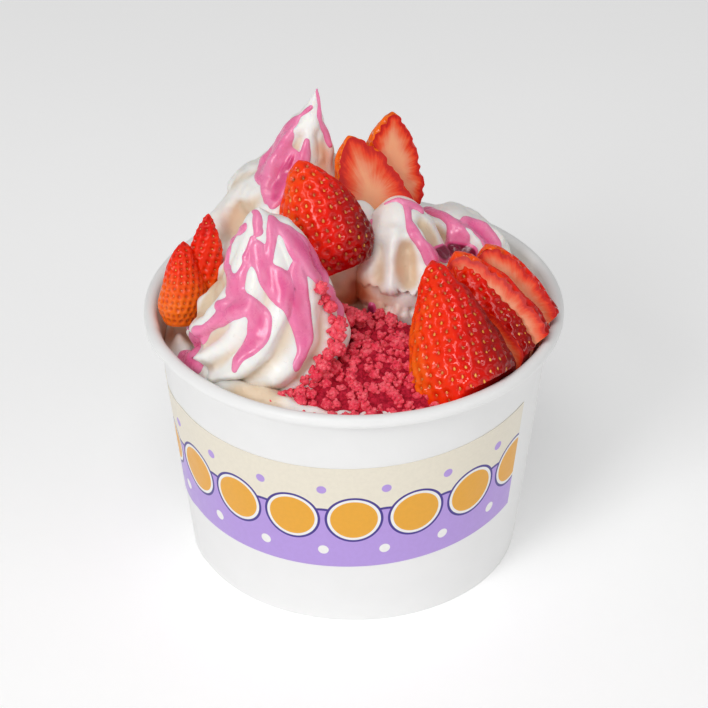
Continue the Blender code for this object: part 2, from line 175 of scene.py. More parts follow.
# Strawberry pieces: as cut
BERRIES = {
    "berry_right_half": {
        "stalk": (30.6, -37.6, 65.5), "tip": (20.6, -14.0, 96.0), "look": (-0.10, -0.80, 0.55),
        "width": 30.5, "half_depth": 13.0, "slab": (-2.0, 13.2), "seed": 21, "taper": 1.3,
        "lit_side": (-0.95, -0.25, 0.05), "ripeness": 0.05, "side_shade": 0.75,
    },
    "berry_right_slice_near": {
        "stalk": (39.6, -29.0, 63.9), "tip": (26.3, -6.2, 91.1), "look": (-0.34, -0.72, 0.52),
        "width": 27.0, "half_depth": 5.2, "slab": (-0.4, 3.3), "seed": 22, "taper": 1.6,
        "ripeness": 0.25,
    },
    "berry_right_slice_mid": {
        "stalk": (44.2, -25.7, 64.6), "tip": (27.0, -4.0, 92.6), "look": (-0.30, -0.70, 0.62),
        "width": 28.0, "half_depth": 12.5, "slab": (-2.4, 2.4), "seed": 23,
        "ripeness": 0.1,
    },
    "berry_right_slice_far": {
        "stalk": (47.2, -16.7, 65.6), "tip": (35.6, 2.5, 91.0), "look": (-0.22, -0.68, 0.68),
        "width": 25.0, "half_depth": 11.5, "slab": (-2.4, 2.4), "seed": 24,
        "ripeness": 0.05,
    },
    "berry_centre_half": {
        "stalk": (-4.6, -3.5, 87.5), "tip": (-14.8, 6.0, 114.8), "look": (-0.22, -0.86, 0.42),
        "width": 25.5, "half_depth": 11.0, "slab": (-2.5, 11.2), "seed": 25,
        "lit_side": (-0.9, -0.2, 0.3), "ripeness": 0.08,
    },
    "berry_back_half": {
        "stalk": (9.0, 8.0, 88.0), "tip": (-1.6, 17.0, 116.2), "look": (0.42, -0.80, 0.40),
        "width": 22.5, "half_depth": 10.5, "slab": (-9.0, 1.0), "seed": 26,
        "ripeness": -0.3, "core": 0.6,
    },
    "berry_top_half": {
        "stalk": (9.2, 17.5, 91.0), "tip": (10.4, 24.6, 119.4), "look": (0.40, -0.84, 0.34),
        "width": 20.5, "half_depth": 10.0, "slab": (-8.5, 1.0), "seed": 27,
        "ripeness": -0.3,
    },
    "berry_left_wedge": {
        "stalk": (-46.6, -5.0, 71.0), "tip": (-46.0, 2.5, 91.8), "look": (-0.20, -0.90, 0.38),
        "width": 12.6, "half_depth": 9.0, "slab": (-2.5, 9.2), "seed": 28,
        "lit_side": (0.1, -0.3, -0.95), "ripeness": -0.4, "side_shade": 0.4,
    },
    "berry_left_slice": {
        "stalk": (-42.4, -1.0, 68.0), "tip": (-39.2, 6.0, 98.4), "look": (0.10, -0.90, 0.40),
        "width": 13.0, "half_depth": 3.8, "slab": (-2.4, 3.9), "seed": 29,
        "lit_side": (0.1, -0.3, -0.95), "ripeness": -0.3, "side_shade": 0.35,
    },
}
STALK_END = 0.72
SHOULDER = 0.28
TAPER = 1.9
TIP_BLUNTNESS = 0.7
WIDEST = 0.95
# How strongly each berry's skin is painted darker away from its lit side.
SIDE_SHADE = 0.62
SKIN_ROWS = 96
SKIN_COLUMNS = 44
FLESH_COLUMNS = 30
SEED_ROW_SPACING = 2.7
SEED_SPACING = 3.2
PIT_DEPTH = 0.8
PIT_WIDTH = 1.05
PIT_RIM = 0.34
FULL_PIT_BERRY = 19.0
BERRY_WALL_GAP = 0.4
# Direction of the side of the skin painted paler, as if lit.
LIT_SIDE = (-0.62, -0.25, 0.74)
SEED_LENGTH = 1.2
SEED_WIDTH = 0.66
SEED_THICKNESS = 0.46
SEED_SINK = 0.62

# Crumble
HEAP_CENTRE = (2.0, -32.0)
HEAP_REACH = (27.0, 23.0)
HEAP_BOTTOM = 63.5
HEAP_FRONT = 69.5
HEAP_BACK = 78.0
HEAP_DOME = 3.0


# ---------------------------------------------------------------- meshes
def wander(points, size, seed, waves=16):
    """A smooth random field over points, about -1 to 1, that changes over a size in millimetres."""
    rng = np.random.default_rng(seed)
    ways = rng.normal(size=(waves, 3))
    ways /= np.linalg.norm(ways, axis=1, keepdims=True)
    pace = TAU / (size * rng.uniform(0.7, 1.6, waves))
    shift = rng.uniform(0, TAU, waves)
    total = np.sin((np.asarray(points) @ ways.T) * pace + shift).sum(-1)
    return total / math.sqrt(waves)


def ease(x):
    x = np.clip(x, 0, 1)
    return x * x * (3 - 2 * x)


def curve_through(knots, values, at):
    """Smooth values through knots that doesn't overshoot; values may have several columns."""
    knots = np.asarray(knots, float)
    values = np.asarray(values, float)
    if values.ndim == 1:
        return curve_through(knots, values[:, None], at)[..., 0]
    gap = np.diff(knots)[:, None]
    rise = np.diff(values, axis=0) / gap
    slope = np.zeros_like(values)
    same = rise[1:] * rise[:-1] > 0
    mean = 2 * rise[1:] * rise[:-1] / np.where(same, rise[1:] + rise[:-1], 1)
    slope[1:-1] = np.where(same, mean, 0)
    slope[0] = rise[0]
    slope[-1] = rise[-1]
    at = np.clip(at, knots[0], knots[-1])
    place = np.clip(np.searchsorted(knots, at, side="right") - 1, 0, len(knots) - 2)
    width = gap[place]
    t = ((at - knots[place]) / width[..., 0])[..., None]
    start = values[place]
    end = values[place + 1]
    lead = slope[place] * width
    tail = slope[place + 1] * width
    return (
        (1 + 2 * t) * (1 - t) ** 2 * start + t * (1 - t) ** 2 * lead
        + t * t * (3 - 2 * t) * end + t * t * (t - 1) * tail
    )


def grid_faces(rows, columns, closed=True):
    """Quads of a grid of points stored row by row; a closed grid wraps round its columns."""
    row, column = np.meshgrid(np.arange(rows - 1), np.arange(columns - (not closed)), indexing="ij")
    after = (column + 1) % columns
    a = row * columns + column
    b = row * columns + after
    return np.stack([a, b, b + columns, a + columns], -1).reshape(-1, 4)


def add_mesh(name, points, faces, materials, smooth_angle=None, fields=None, uv=None, which=None):
    """A mesh from points in millimetres, with its doubles merged, in metres at the origin."""
    mesh = bpy.data.meshes.new(name)
    mesh.from_pydata((np.asarray(points) * MM).tolist(), [], [list(map(int, f)) for f in faces])
    for field, values in (fields or {}).items():
        mesh.attributes.new(field, "FLOAT", "POINT").data.foreach_set("value", np.asarray(values, np.float32))
    if which is not None:
        mesh.polygons.foreach_set("material_index", np.asarray(which, np.int32))
    if uv is not None:
        layer = mesh.uv_layers.new(name="surface")
        corners = np.empty(len(mesh.loops), np.int32)
        mesh.loops.foreach_get("vertex_index", corners)
        layer.data.foreach_set("uv", np.asarray(uv, np.float32)[corners].ravel())
    bm = bmesh.new()
    bm.from_mesh(mesh)
    bmesh.ops.remove_doubles(bm, verts=bm.verts, dist=0.004 * MM)
    bmesh.ops.dissolve_degenerate(bm, edges=bm.edges, dist=0.002 * MM)
    bm.to_mesh(mesh)
    bm.free()
    for made in materials if isinstance(materials, (list, tuple)) else [materials]:
        mesh.materials.append(made)
    mesh.shade_smooth()
    if smooth_angle:
        mesh.set_sharp_from_angle(angle=math.radians(smooth_angle))
    obj = bpy.data.objects.new(name, mesh)
    bpy.context.scene.collection.objects.link(obj)
    return obj


def place(obj, slot, *nodes):
    """The finished piece rides with the cup and stands for its nodes."""
    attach(obj, BODY)
    if nodes:
        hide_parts(*nodes)
    return obj


def wall_radius(height):
    return FOOT_RADIUS + WALL_SLOPE * height


def turned(profile, sides, bulge=None):
    """Points of a closed profile of (radius, height) turned round the cup's axis."""
    angles = TAU * np.arange(sides) / sides
    profile = np.asarray(profile, float)
    radius = profile[:, 0, None] + (bulge(profile, angles) if bulge is not None else 0)
    points = np.stack([
        radius * np.cos(angles), radius * np.sin(angles), np.repeat(profile[:, 1, None], sides, 1)
    ], -1)
    return points


def grid_normals(grid, closed=True):
    """Unit normals of a grid of points (rows, columns, 3), outwards where rows go up."""
    if closed:
        across = np.roll(grid, -1, 1) - np.roll(grid, 1, 1)
    else:
        across = np.gradient(grid, axis=1)
    along = np.gradient(grid, axis=0)
    normal = np.cross(across, along)
    length = np.linalg.norm(normal, axis=-1, keepdims=True)
    return normal / np.maximum(length, 1e-9)


# ---------------------------------------------------------------- material nodes
def new_material(name):
    made = bpy.data.materials.new(name)
    made.use_nodes = True
    tree = made.node_tree
    return made, tree, tree.nodes["Principled BSDF"]


def add_node(tree, kind, inputs=None, **settings):
    node = tree.nodes.new(kind)
    for key, value in settings.items():
        setattr(node, key, value)
    for key, value in (inputs or {}).items():
        if isinstance(value, bpy.types.NodeSocket):
            tree.links.new(value, node.inputs[key])
        else:
            node.inputs[key].default_value = value
    return node


def calc(tree, operation, first, second=0.0, clamp=False):
    node = add_node(tree, "ShaderNodeMath", {0: first, 1: second}, operation=operation, use_clamp=clamp)
    return node.outputs[0]


def blend_colours(tree, factor, first, second, mode="MIX"):
    node = add_node(
        tree, "ShaderNodeMix", {0: factor, 6: first, 7: second}, data_type="RGBA", blend_type=mode
    )
    return node.outputs[2]


def between(tree, value, low, high, to_low=0.0, to_high=1.0):
    """Eases a value from one range to another and holds it at the ends."""
    node = add_node(
        tree, "ShaderNodeMapRange", {0: value, 1: low, 2: high, 3: to_low, 4: to_high},
        interpolation_type="SMOOTHSTEP",
    )
    return node.outputs[0]


def place_of(tree):
    return add_node(tree, "ShaderNodeTexCoord").outputs["Object"]


def grain(tree, size, detail=2.0, roughness=0.5, where=None, distortion=0.0):
    """Noise whose features are about a size in millimetres."""
    inputs = {"Scale": 1 / (size * MM), "Detail": detail, "Roughness": roughness, "Distortion": distortion}
    inputs["Vector"] = where if where is not None else place_of(tree)
    return add_node(tree, "ShaderNodeTexNoise", inputs).outputs["Fac"]


def field(tree, name):
    return add_node(tree, "ShaderNodeAttribute", attribute_name=name).outputs["Fac"]


def relief(tree, shader, heights):
    """Stacks bumps of (height socket, depth in millimetres) on the shader."""
    normal = None
    for height, depth in heights:
        inputs = {"Height": height, "Distance": depth * MM, "Strength": 1.0}
        if normal is not None:
            inputs["Normal"] = normal
        normal = add_node(tree, "ShaderNodeBump", inputs).outputs["Normal"]
    tree.links.new(normal, shader.inputs["Normal"])


def link(tree, output, socket):
    tree.links.new(output, socket)


# ---------------------------------------------------------------- materials
def coated_paper():
    made, tree, shader = new_material("coated paper")
    mottle = grain(tree, 9.0, 3.0)
    colour = blend_colours(tree, mottle, (0.86, 0.86, 0.855, 1), (0.90, 0.90, 0.895, 1))
    # Painted shade on the inner wall, warmed to tan by reflected berry red.
    colour = blend_colours(tree, field(tree, "wall_shade"), colour, (0.80, 0.42, 0.26, 1))
    link(tree, colour, shader.inputs["Base Color"])
    link(tree, between(tree, grain(tree, 2.5), 0.2, 0.8, 0.36, 0.48), shader.inputs["Roughness"])
    shader.inputs["Specular IOR Level"].default_value = 0.4
    relief(tree, shader, [(grain(tree, 0.5, 3.0), 0.006), (grain(tree, 14.0), 0.05)])
    return made


def soft_yogurt():
    """Creamy white with painted shade, tan in the creases and red-brown where shade is warmed by reflected
    berry red, and the fine pits of whipped yogurt.
    """
    made, tree, shader = new_material("soft serve yogurt")
    cream = blend_colours(tree, grain(tree, 7.0), (0.90, 0.875, 0.83, 1), (0.93, 0.915, 0.88, 1))
    # Painted shade: tan in the creases and at the tan shade spots.
    crease_shade = between(tree, field(tree, "hollow"), 0.3, 0.95, 0.0, 0.9)
    crease_shaded = blend_colours(tree, crease_shade, cream, (0.75, 0.57, 0.38, 1))
    # Painted warm shade, deepening to a red-brown painted shadow where it is strongest.
    warm_shade = field(tree, "warm_shade")
    tinted = blend_colours(tree, between(tree, warm_shade, 0.0, 0.7), crease_shaded, (0.84, 0.47, 0.30, 1))
    tinted = blend_colours(tree, between(tree, warm_shade, 0.55, 1.0), tinted, (0.52, 0.13, 0.05, 1))
    link(tree, tinted, shader.inputs["Base Color"])
    link(tree, between(tree, grain(tree, 3.0), 0.25, 0.75, 0.30, 0.46), shader.inputs["Roughness"])
    shader.inputs["Subsurface Weight"].default_value = 0.35
    shader.inputs["Subsurface Radius"].default_value = (1.0, 0.72, 0.5)
    shader.inputs["Subsurface Scale"].default_value = 2.2 * MM
    shader.inputs["Specular IOR Level"].default_value = 0.45
    pits = between(tree, grain(tree, 0.9, 2.0), 0.24, 0.40)
    relief(tree, shader, [(pits, 0.07), (grain(tree, 2.6, 2.0), 0.10)])
    return made


def fruit_sauce():
    made, tree, shader = new_material("pink fruit sauce")
    depth = between(tree, field(tree, "thickness"), 0.15, 1.0)
    thin = (0.90, 0.25, 0.45, 1)
    thick = (0.82, 0.10, 0.30, 1)
    body = blend_colours(tree, depth, thin, thick)
    patchy = between(tree, grain(tree, 5.0), 0.35, 0.75, 0.0, 0.6)
    body = blend_colours(tree, patchy, body, (0.84, 0.14, 0.35, 1))
    # Deep magenta along the dark lines: thicker sauce, and painted shade on it.
    pooled_and_shaded = between(tree, field(tree, "thickness"), 1.0, 1.9)
    body = blend_colours(tree, pooled_and_shaded, body, (0.20, 0.004, 0.035, 1))
    link(tree, body, shader.inputs["Base Color"])
    link(tree, between(tree, grain(tree, 2.0), 0.3, 0.7, 0.24, 0.36), shader.inputs["Roughness"])
    shader.inputs["Subsurface Weight"].default_value = 0.25
    shader.inputs["Subsurface Radius"].default_value = (1.0, 0.35, 0.5)
    shader.inputs["Subsurface Scale"].default_value = 1.2 * MM
    shader.inputs["Coat Weight"].default_value = 0.3
    shader.inputs["Coat Roughness"].default_value = 0.12
    relief(tree, shader, [(grain(tree, 4.5), 0.08)])
    return made


def berry_skin():
    """Glossy skin from orange to deep red, with painted light: paler orange towards the lit side and deeper
    red on the shaded side, over each berry's own ripeness.
    """
    made, tree, shader = new_material("strawberry skin")
    ripe_and_shade = calc(tree, "ADD", field(tree, "ripe_and_shade"), calc(tree, "MULTIPLY", grain(tree, 6.0, 3.0), 0.5))
    ramp = add_node(tree, "ShaderNodeValToRGB", {"Fac": calc(tree, "SUBTRACT", ripe_and_shade, 0.25)})
    stops = ramp.color_ramp.elements
    stops[0].position = 0.0
    stops[0].color = (1.0, 0.17, 0.006, 1)
    stops[1].position = 1.0
    stops[1].color = (0.22, 0.0, 0.0005, 1)
    for position, colour in (
        (0.25, (1.0, 0.04, 0.002, 1)), (0.5, (0.88, 0.010, 0.001, 1)), (0.75, (0.50, 0.002, 0.001, 1)),
    ):
        stops.new(position).color = colour
    # Painted shade in the pits round the seeds.
    in_pit = between(tree, field(tree, "pit"), 0.3, 1.0, 0.0, 0.55)
    pit_shaded = blend_colours(tree, in_pit, ramp.outputs["Color"], (0.42, 0.01, 0.004, 1))
    link(tree, pit_shaded, shader.inputs["Base Color"])
    link(tree, between(tree, grain(tree, 1.5), 0.3, 0.7, 0.16, 0.28), shader.inputs["Roughness"])
    shader.inputs["Subsurface Weight"].default_value = 0.18
    shader.inputs["Subsurface Radius"].default_value = (1.0, 0.16, 0.08)
    shader.inputs["Subsurface Scale"].default_value = 1.4 * MM
    shader.inputs["Specular IOR Level"].default_value = 0.05
    shader.inputs["Coat Weight"].default_value = 0.6
    shader.inputs["Coat Roughness"].default_value = 0.06
    relief(tree, shader, [(grain(tree, 0.8, 2.0), 0.035), (grain(tree, 3.0), 0.12)])
    return made


SPOKE_STRETCH = 0.22


def berry_flesh():
    """Cut face: deep red under the skin, salmon with pale spokes further in, palest at the core."""
    made, tree, shader = new_material("strawberry flesh")
    inwards = field(tree, "inwards")
    around = add_node(tree, "ShaderNodeUVMap", uv_map="surface").outputs["UV"]
    split = add_node(tree, "ShaderNodeSeparateXYZ", {0: around})
    inward = calc(tree, "MULTIPLY", split.outputs[1], SPOKE_STRETCH)
    spoke_place = add_node(tree, "ShaderNodeCombineXYZ", {0: split.outputs[0], 1: inward}).outputs[0]
    spokes = add_node(
        tree, "ShaderNodeTexNoise", {"Vector": spoke_place, "Scale": 1.15, "Detail": 3.0, "Roughness": 0.6}
    ).outputs["Fac"]
    cloud = grain(tree, 3.0, 3.0)
    depth = calc(tree, "ADD", inwards, calc(tree, "MULTIPLY", calc(tree, "SUBTRACT", cloud, 0.5), 1.6))
    depth = calc(tree, "ADD", depth, calc(tree, "MULTIPLY", calc(tree, "SUBTRACT", spokes, 0.5), 2.2))
    ramp = add_node(tree, "ShaderNodeValToRGB", {"Fac": between(tree, depth, 0.0, 5.5)})
    stops = ramp.color_ramp.elements
    stops[0].position = 0.02
    stops[0].color = (0.60, 0.012, 0.008, 1)
    stops[1].position = 0.95
    stops[1].color = (0.92, 0.42, 0.23, 1)
    for position, colour in (
        (0.12, (0.86, 0.05, 0.012, 1)), (0.34, (0.88, 0.15, 0.055, 1)), (0.62, (0.90, 0.30, 0.16, 1)),
    ):
        stops.new(position).color = colour
    link(tree, ramp.outputs["Color"], shader.inputs["Base Color"])
    shader.inputs["Roughness"].default_value = 0.32
    shader.inputs["Subsurface Weight"].default_value = 0.3
    shader.inputs["Subsurface Radius"].default_value = (1.0, 0.3, 0.18)
    shader.inputs["Subsurface Scale"].default_value = 1.6 * MM
    shader.inputs["Specular IOR Level"].default_value = 0.16
    shader.inputs["Coat Weight"].default_value = 0.06
    shader.inputs["Coat Roughness"].default_value = 0.2
    relief(tree, shader, [(spokes, 0.10), (grain(tree, 0.6, 3.0), 0.04)])
    return made


def berry_seed():
    made, tree, shader = new_material("strawberry seed")
    colour = blend_colours(
        tree, between(tree, grain(tree, 2.2, 1.0), 0.35, 0.65), (0.80, 0.26, 0.02, 1), (0.40, 0.09, 0.01, 1)
    )
    golden = between(tree, grain(tree, 8.0, 1.0), 0.45, 0.6)
    colour = blend_colours(tree, golden, colour, (0.88, 0.40, 0.04, 1))
    link(tree, colour, shader.inputs["Base Color"])
    shader.inputs["Roughness"].default_value = 0.28
    shader.inputs["Coat Weight"].default_value = 0.4
    relief(tree, shader, [(grain(tree, 0.25), 0.02)])
    return made


def berry_crumble():
    """Freeze-dried berry crumb: dusty pink-red grains that vary at random, with pale pink specks of painted
    highlight and dark specks of painted crevice shade.
    """
    made, tree, shader = new_material("berry crumble")
    lump = grain(tree, 3.4, 1.0)
    pale = between(tree, lump, 0.35, 0.65)
    colour = blend_colours(tree, pale, (0.88, 0.03, 0.08, 1), (0.98, 0.10, 0.15, 1))
    fine = grain(tree, 0.8, 3.0, 0.65)
    # Painted highlights: pale pink specks.
    colour = blend_colours(tree, between(tree, fine, 0.5, 0.72), colour, (1.0, 0.24, 0.26, 1))
    # Painted shade: dark specks in the crevices.
    colour = blend_colours(tree, between(tree, fine, 0.46, 0.3), colour, (0.50, 0.01, 0.03, 1))
    link(tree, colour, shader.inputs["Base Color"])
    shader.inputs["Roughness"].default_value = 0.75
    shader.inputs["Subsurface Weight"].default_value = 0.05
    shader.inputs["Subsurface Radius"].default_value = (1.0, 0.3, 0.3)
    shader.inputs["Subsurface Scale"].default_value = 0.8 * MM
    shader.inputs["Sheen Weight"].default_value = 0.08
    relief(tree, shader, [(grain(tree, 0.7, 3.0, 0.7), 0.22), (grain(tree, 0.25), 0.05)])
    return made


def crumble_shade():
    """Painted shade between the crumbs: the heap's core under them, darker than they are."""
    made, tree, shader = new_material("crumble shade")
    fine = between(tree, grain(tree, 0.9, 3.0, 0.65), 0.35, 0.65)
    colour = blend_colours(tree, fine, (0.32, 0.003, 0.018, 1), (0.58, 0.016, 0.045, 1))
    link(tree, colour, shader.inputs["Base Color"])
    shader.inputs["Roughness"].default_value = 0.85
    shader.inputs["Specular IOR Level"].default_value = 0.2
    relief(tree, shader, [(grain(tree, 0.8, 3.0, 0.7), 0.3)])
    return made


LABEL_CREAM = (0.85, 0.79, 0.66, 1)
LABEL_LILAC = (0.48, 0.32, 0.77, 1)
LABEL_INDIGO = (0.045, 0.02, 0.26, 1)
LABEL_GOLD = (0.86, 0.40, 0.02, 1)
LABEL_WHITE = (0.90, 0.89, 0.87, 1)
LABEL_PITCH = 17.0
DISC_RADIUS = 6.4
DISC_HEIGHT = 17.0


def printed_label():
    """Cream band with a scalloped lilac field and a row of outlined golden discs."""
    made, tree, shader = new_material("printed label")
    place_uv = add_node(tree, "ShaderNodeUVMap", uv_map="surface").outputs["UV"]
    split = add_node(tree, "ShaderNodeSeparateXYZ", {0: place_uv})
    along, height = split.outputs[0], split.outputs[1]

    def folded(shift, pitch):
        """Distance along to the nearest of marks a pitch apart."""
        moved = calc(tree, "ADD", along, shift)
        node = add_node(tree, "ShaderNodeMath", {0: moved, 1: -0.5 * pitch, 2: 0.5 * pitch}, operation="WRAP")
        return calc(tree, "ABSOLUTE", node.outputs[0])

    def distance(across, level):
        up = calc(tree, "SUBTRACT", height, level)
        squares = calc(tree, "ADD", calc(tree, "MULTIPLY", across, across), calc(tree, "MULTIPLY", up, up))
        return calc(tree, "SQRT", squares)

    def inside(gap, edge):
        return between(tree, gap, edge + 0.06, edge - 0.06)

    scallop = distance(folded(0.5 * LABEL_PITCH, LABEL_PITCH), 10.5)
    below = inside(height, 12.0)
    field_in = calc(tree, "MAXIMUM", inside(scallop, 9.6), below)
    field_out = calc(tree, "MAXIMUM", inside(scallop, 10.4), below)
    colour = blend_colours(tree, field_out, LABEL_CREAM, LABEL_INDIGO)
    colour = blend_colours(tree, field_in, colour, LABEL_LILAC)
    disc = distance(folded(0.0, LABEL_PITCH), DISC_HEIGHT)
    for radius, paint in (
        (DISC_RADIUS + 1.5, LABEL_INDIGO), (DISC_RADIUS + 0.8, LABEL_WHITE), (DISC_RADIUS, LABEL_GOLD),
    ):
        colour = blend_colours(tree, inside(disc, radius), colour, paint)
    small = distance(folded(0.5 * LABEL_PITCH, LABEL_PITCH), 27.5)
    colour = blend_colours(tree, inside(small, 1.3), colour, LABEL_LILAC)
    low_dot = distance(folded(0.5 * LABEL_PITCH, LABEL_PITCH), 6.0)
    colour = blend_colours(tree, inside(low_dot, 1.5), colour, LABEL_WHITE)
    dirt = between(tree, grain(tree, 1.2, 2.0), 0.3, 0.7, 0.97, 1.0)
    grey = add_node(tree, "ShaderNodeCombineColor", {0: dirt, 1: dirt, 2: dirt}).outputs[0]
    colour = blend_colours(tree, 1.0, colour, grey, "MULTIPLY")
    link(tree, colour, shader.inputs["Base Color"])
    link(tree, between(tree, grain(tree, 3.0), 0.3, 0.7, 0.28, 0.38), shader.inputs["Roughness"])
    relief(tree, shader, [(grain(tree, 0.6, 2.0), 0.004)])
    return made


PAPER = coated_paper()
YOGURT = soft_yogurt()
SAUCE = fruit_sauce()
SKIN = berry_skin()
FLESH = berry_flesh()
SEED = berry_seed()
CRUMBLE = berry_crumble()
CRUMBLE_SHADE = crumble_shade()
LABEL = printed_label()


# ---------------------------------------------------------------- cup
def arc(centre, radius, start, end, count):
    angles = np.radians(np.linspace(start, end, count))
    return [(centre[0] + radius * math.cos(a), centre[1] + radius * math.sin(a)) for a in angles]


def seam_bulge(profile, angles):
    """The wall is one sheet glued to itself: its outer end makes a low step down the side."""
    past = (np.degrees(angles) - SEAM_ANGLE + 180) % 360 - 180
    step = ease((past + 0.25) / 0.5) * (1 - ease((past - SEAM_WIDTH) / 5.0))
    outer = ease((np.asarray(profile)[:, 0] - wall_radius(0) + 2.0) / 1.0)
    return SEAM_STEP * step[None, :] * outer[:, None]


def cup_shell():
    """Paper wall: straight cone, top rolled outwards, foot folded in and up round the bottom's flange."""
    curl = (RIM_RADIUS - SEAM_STEP - CURL_RADIUS, CUP_HEIGHT - CURL_RADIUS)
    top = curl[1] - 2.2
    hem_out = FOOT_RADIUS - WALL - 2 * FOLD_GAP - FLANGE_PAPER
    hem_in = hem_out - WALL
    lead = [(wall_radius(z) - WALL, z) for z in np.linspace(WALL, top, 24)]
    rolled = arc(curl, CURL_RADIUS, 180, -150, 30)
    tucked = arc(curl, CURL_RADIUS - CURL_PAPER, -150, 180, 26)
    root = curl[1] - 0.75 * CURL_RADIUS
    outer = [(wall_radius(z) - 0.02, z) for z in np.linspace(root, FOOT_ROUND, 40)]
    foot = arc((wall_radius(0) - FOOT_ROUND, FOOT_ROUND), FOOT_ROUND, 0, -90, 6)[1:]
    hem = arc((hem_in + FOOT_ROUND, FOOT_ROUND), FOOT_ROUND, -90, -180, 6)
    lean = WALL_SLOPE * HEM_TOP
    hem += [(hem_in + lean, HEM_TOP), (hem_out + lean, HEM_TOP), (hem_out, WALL)]
    profile = lead + rolled + tucked + outer + foot + hem
    points = turned(profile, CUP_SIDES, seam_bulge)
    rows = len(profile)
    faces = grid_faces(rows, CUP_SIDES)
    column = np.arange(CUP_SIDES)
    after = (column + 1) % CUP_SIDES
    last = (rows - 1) * CUP_SIDES
    closing = np.stack([last + column, last + after, after, column], -1)
    points = points.reshape(-1, 3)
    # Painted warm shade on the inner wall, at the listed spots.
    wall_shade = np.zeros(len(points))
    within = slice(0, len(lead) * CUP_SIDES)
    for centre, reach, strength in WALL_SHADE_SPOTS:
        gap = np.linalg.norm((points[within] - np.array(centre)) / reach, axis=1)
        wall_shade[within] = np.maximum(wall_shade[within], strength * ease(1 - gap))
    faces = np.concatenate([faces, closing])
    obj = add_mesh("cup_shell", points, faces, PAPER, 50, fields={"wall_shade": wall_shade})
    return place(obj, "paper", "cup_wall")


# Spots of painted shade on the inner wall, warmed by reflected berry red: centre, reach, strength.
WALL_SHADE_SPOTS = (
    ((-52.0, 2.0, 62.0), 16.0, 0.9),
    ((49.0, 16.0, 67.0), 9.0, 0.18),
)


def cup_disc():
    """Raised bottom with its flange turned down into the wall's fold."""
    outer = FOOT_RADIUS - WALL - FOLD_GAP
    inner = outer - FLANGE_PAPER
    low = 1.0
    bend = inner + WALL_SLOPE * FLANGE_TOP - 0.6
    profile = [(0.0, FLANGE_TOP), (inner * 0.5, FLANGE_TOP), (bend, FLANGE_TOP)]
    profile += arc((inner + WALL_SLOPE * FLANGE_TOP - 0.6, FLANGE_TOP - 0.6), 0.6, 90, 0, 5)[1:]
    profile += [(inner + WALL_SLOPE * low, low), (outer + WALL_SLOPE * low, low)]
    profile += arc((outer + WALL_SLOPE * FLANGE_TOP - 0.8, FLANGE_TOP + WALL - 0.8), 0.8, 0, 90, 6)
    profile += [(inner * 0.5, FLANGE_TOP + WALL), (0.0, FLANGE_TOP + WALL)]
    points = turned(profile, CUP_SIDES)
    obj = add_mesh("cup_base_disc", points.reshape(-1, 3), grid_faces(len(profile), CUP_SIDES), PAPER, 50)
    return place(obj, "paper", "cup_bottom")


def label_lift(angle):
    along = math.radians(angle + 90) * LABEL_RADIUS
    return LABEL_TILT * along + LABEL_BOW * along * along


def label_band():
    """The printed band, glued flat on the wall."""
    columns = 200
    levels = 12
    rows = []
    places = []
    for angle in np.linspace(LABEL_LEFT, LABEL_RIGHT, columns):
        a = math.radians(angle)
        lift = label_lift(angle)
        step = float(seam_bulge([(wall_radius(30), 30)], np.array([a]))[0, 0])
        for out in (0, 1):
            heights = np.linspace(LABEL_LOW, LABEL_HIGH, levels)
            for height in heights if out else heights[::-1]:
                z = height + lift
                radius = wall_radius(z) + step + 0.01 + out * LABEL_PAPER
                rows.append((radius * math.cos(a), radius * math.sin(a), z))
                places.append((math.radians(angle + 90) * LABEL_RADIUS, height - LABEL_LOW))
    ring = 2 * levels
    faces = grid_faces(columns, ring)[:, ::-1]
    ends = [list(range(ring)), [(columns - 1) * ring + k for k in range(ring)][::-1]]
    obj = add_mesh("cup_label_band", rows, list(faces) + ends, LABEL, 40, uv=places)
    return place(obj, "label", "cup_label")


# ---------------------------------------------------------------- yogurt
def yogurt_edge(angle):
    """Height of the yogurt at the wall, eased between the compass points of the table."""
    points = list(YOGURT_EDGE) + [(YOGURT_EDGE[0][0] + 360, YOGURT_EDGE[0][1])]
    angle = (np.asarray(angle, float) - points[0][0]) % 360 + points[0][0]
    height = np.full(angle.shape, float(points[-1][1]))
    for (a0, h0), (a1, h1) in zip(points, points[1:]):
        part = (angle >= a0) & (angle < a1)
        height = np.where(part, h0 + (h1 - h0) * ease((angle - a0) / (a1 - a0)), height)
    return height


def warm_shade_at(points):
    """How much painted warm shade, shade warmed by reflected berry red, the yogurt gets at each point, from 0
    to 1.
    """
    tint = np.zeros(len(points))
    for centre, reach, strength in WARM_SHADE_SPOTS:
        gap = np.linalg.norm((points - np.array(centre)) / np.array(reach), axis=1)
        tint = np.maximum(tint, strength * ease(1 - gap))
    return np.clip(tint * (1 + 0.25 * wander(points, 6.0, 77)), 0, 1)


# Spots of painted warm shade on the yogurt: centre, reach, strength.
WARM_SHADE_SPOTS = (
    ((0.0, -5.0, 79.0), (12.0, 13.0, 13.0), 1.0),
    ((-47.0, -3.0, 65.0), (12.0, 16.0, 12.0), 0.75),
    ((13.5, -7.0, 90.0), (6.0, 7.0, 8.0), 0.4),
    ((9.0, -11.0, 77.0), (10.0, 7.0, 6.5), 0.4),
    ((-7.5, 13.0, 112.0), (6.0, 6.0, 8.0), 0.7),
    ((-34.0, 12.0, 93.0), (9.0, 9.0, 7.0), 0.28),
    ((-40.0, -28.0, 70.0), (9.0, 9.0, 6.0), 0.22),
)


def tan_shade_at(points):
    """How much painted tan shade the cream gets at each point, from 0 to 1."""
    tint = np.zeros(len(points))
    for centre, reach, strength in TAN_SHADE_SPOTS:
        gap = np.linalg.norm((points - np.array(centre)) / np.array(reach), axis=1)
        tint = np.maximum(tint, strength * ease(1.2 - gap))
    return tint


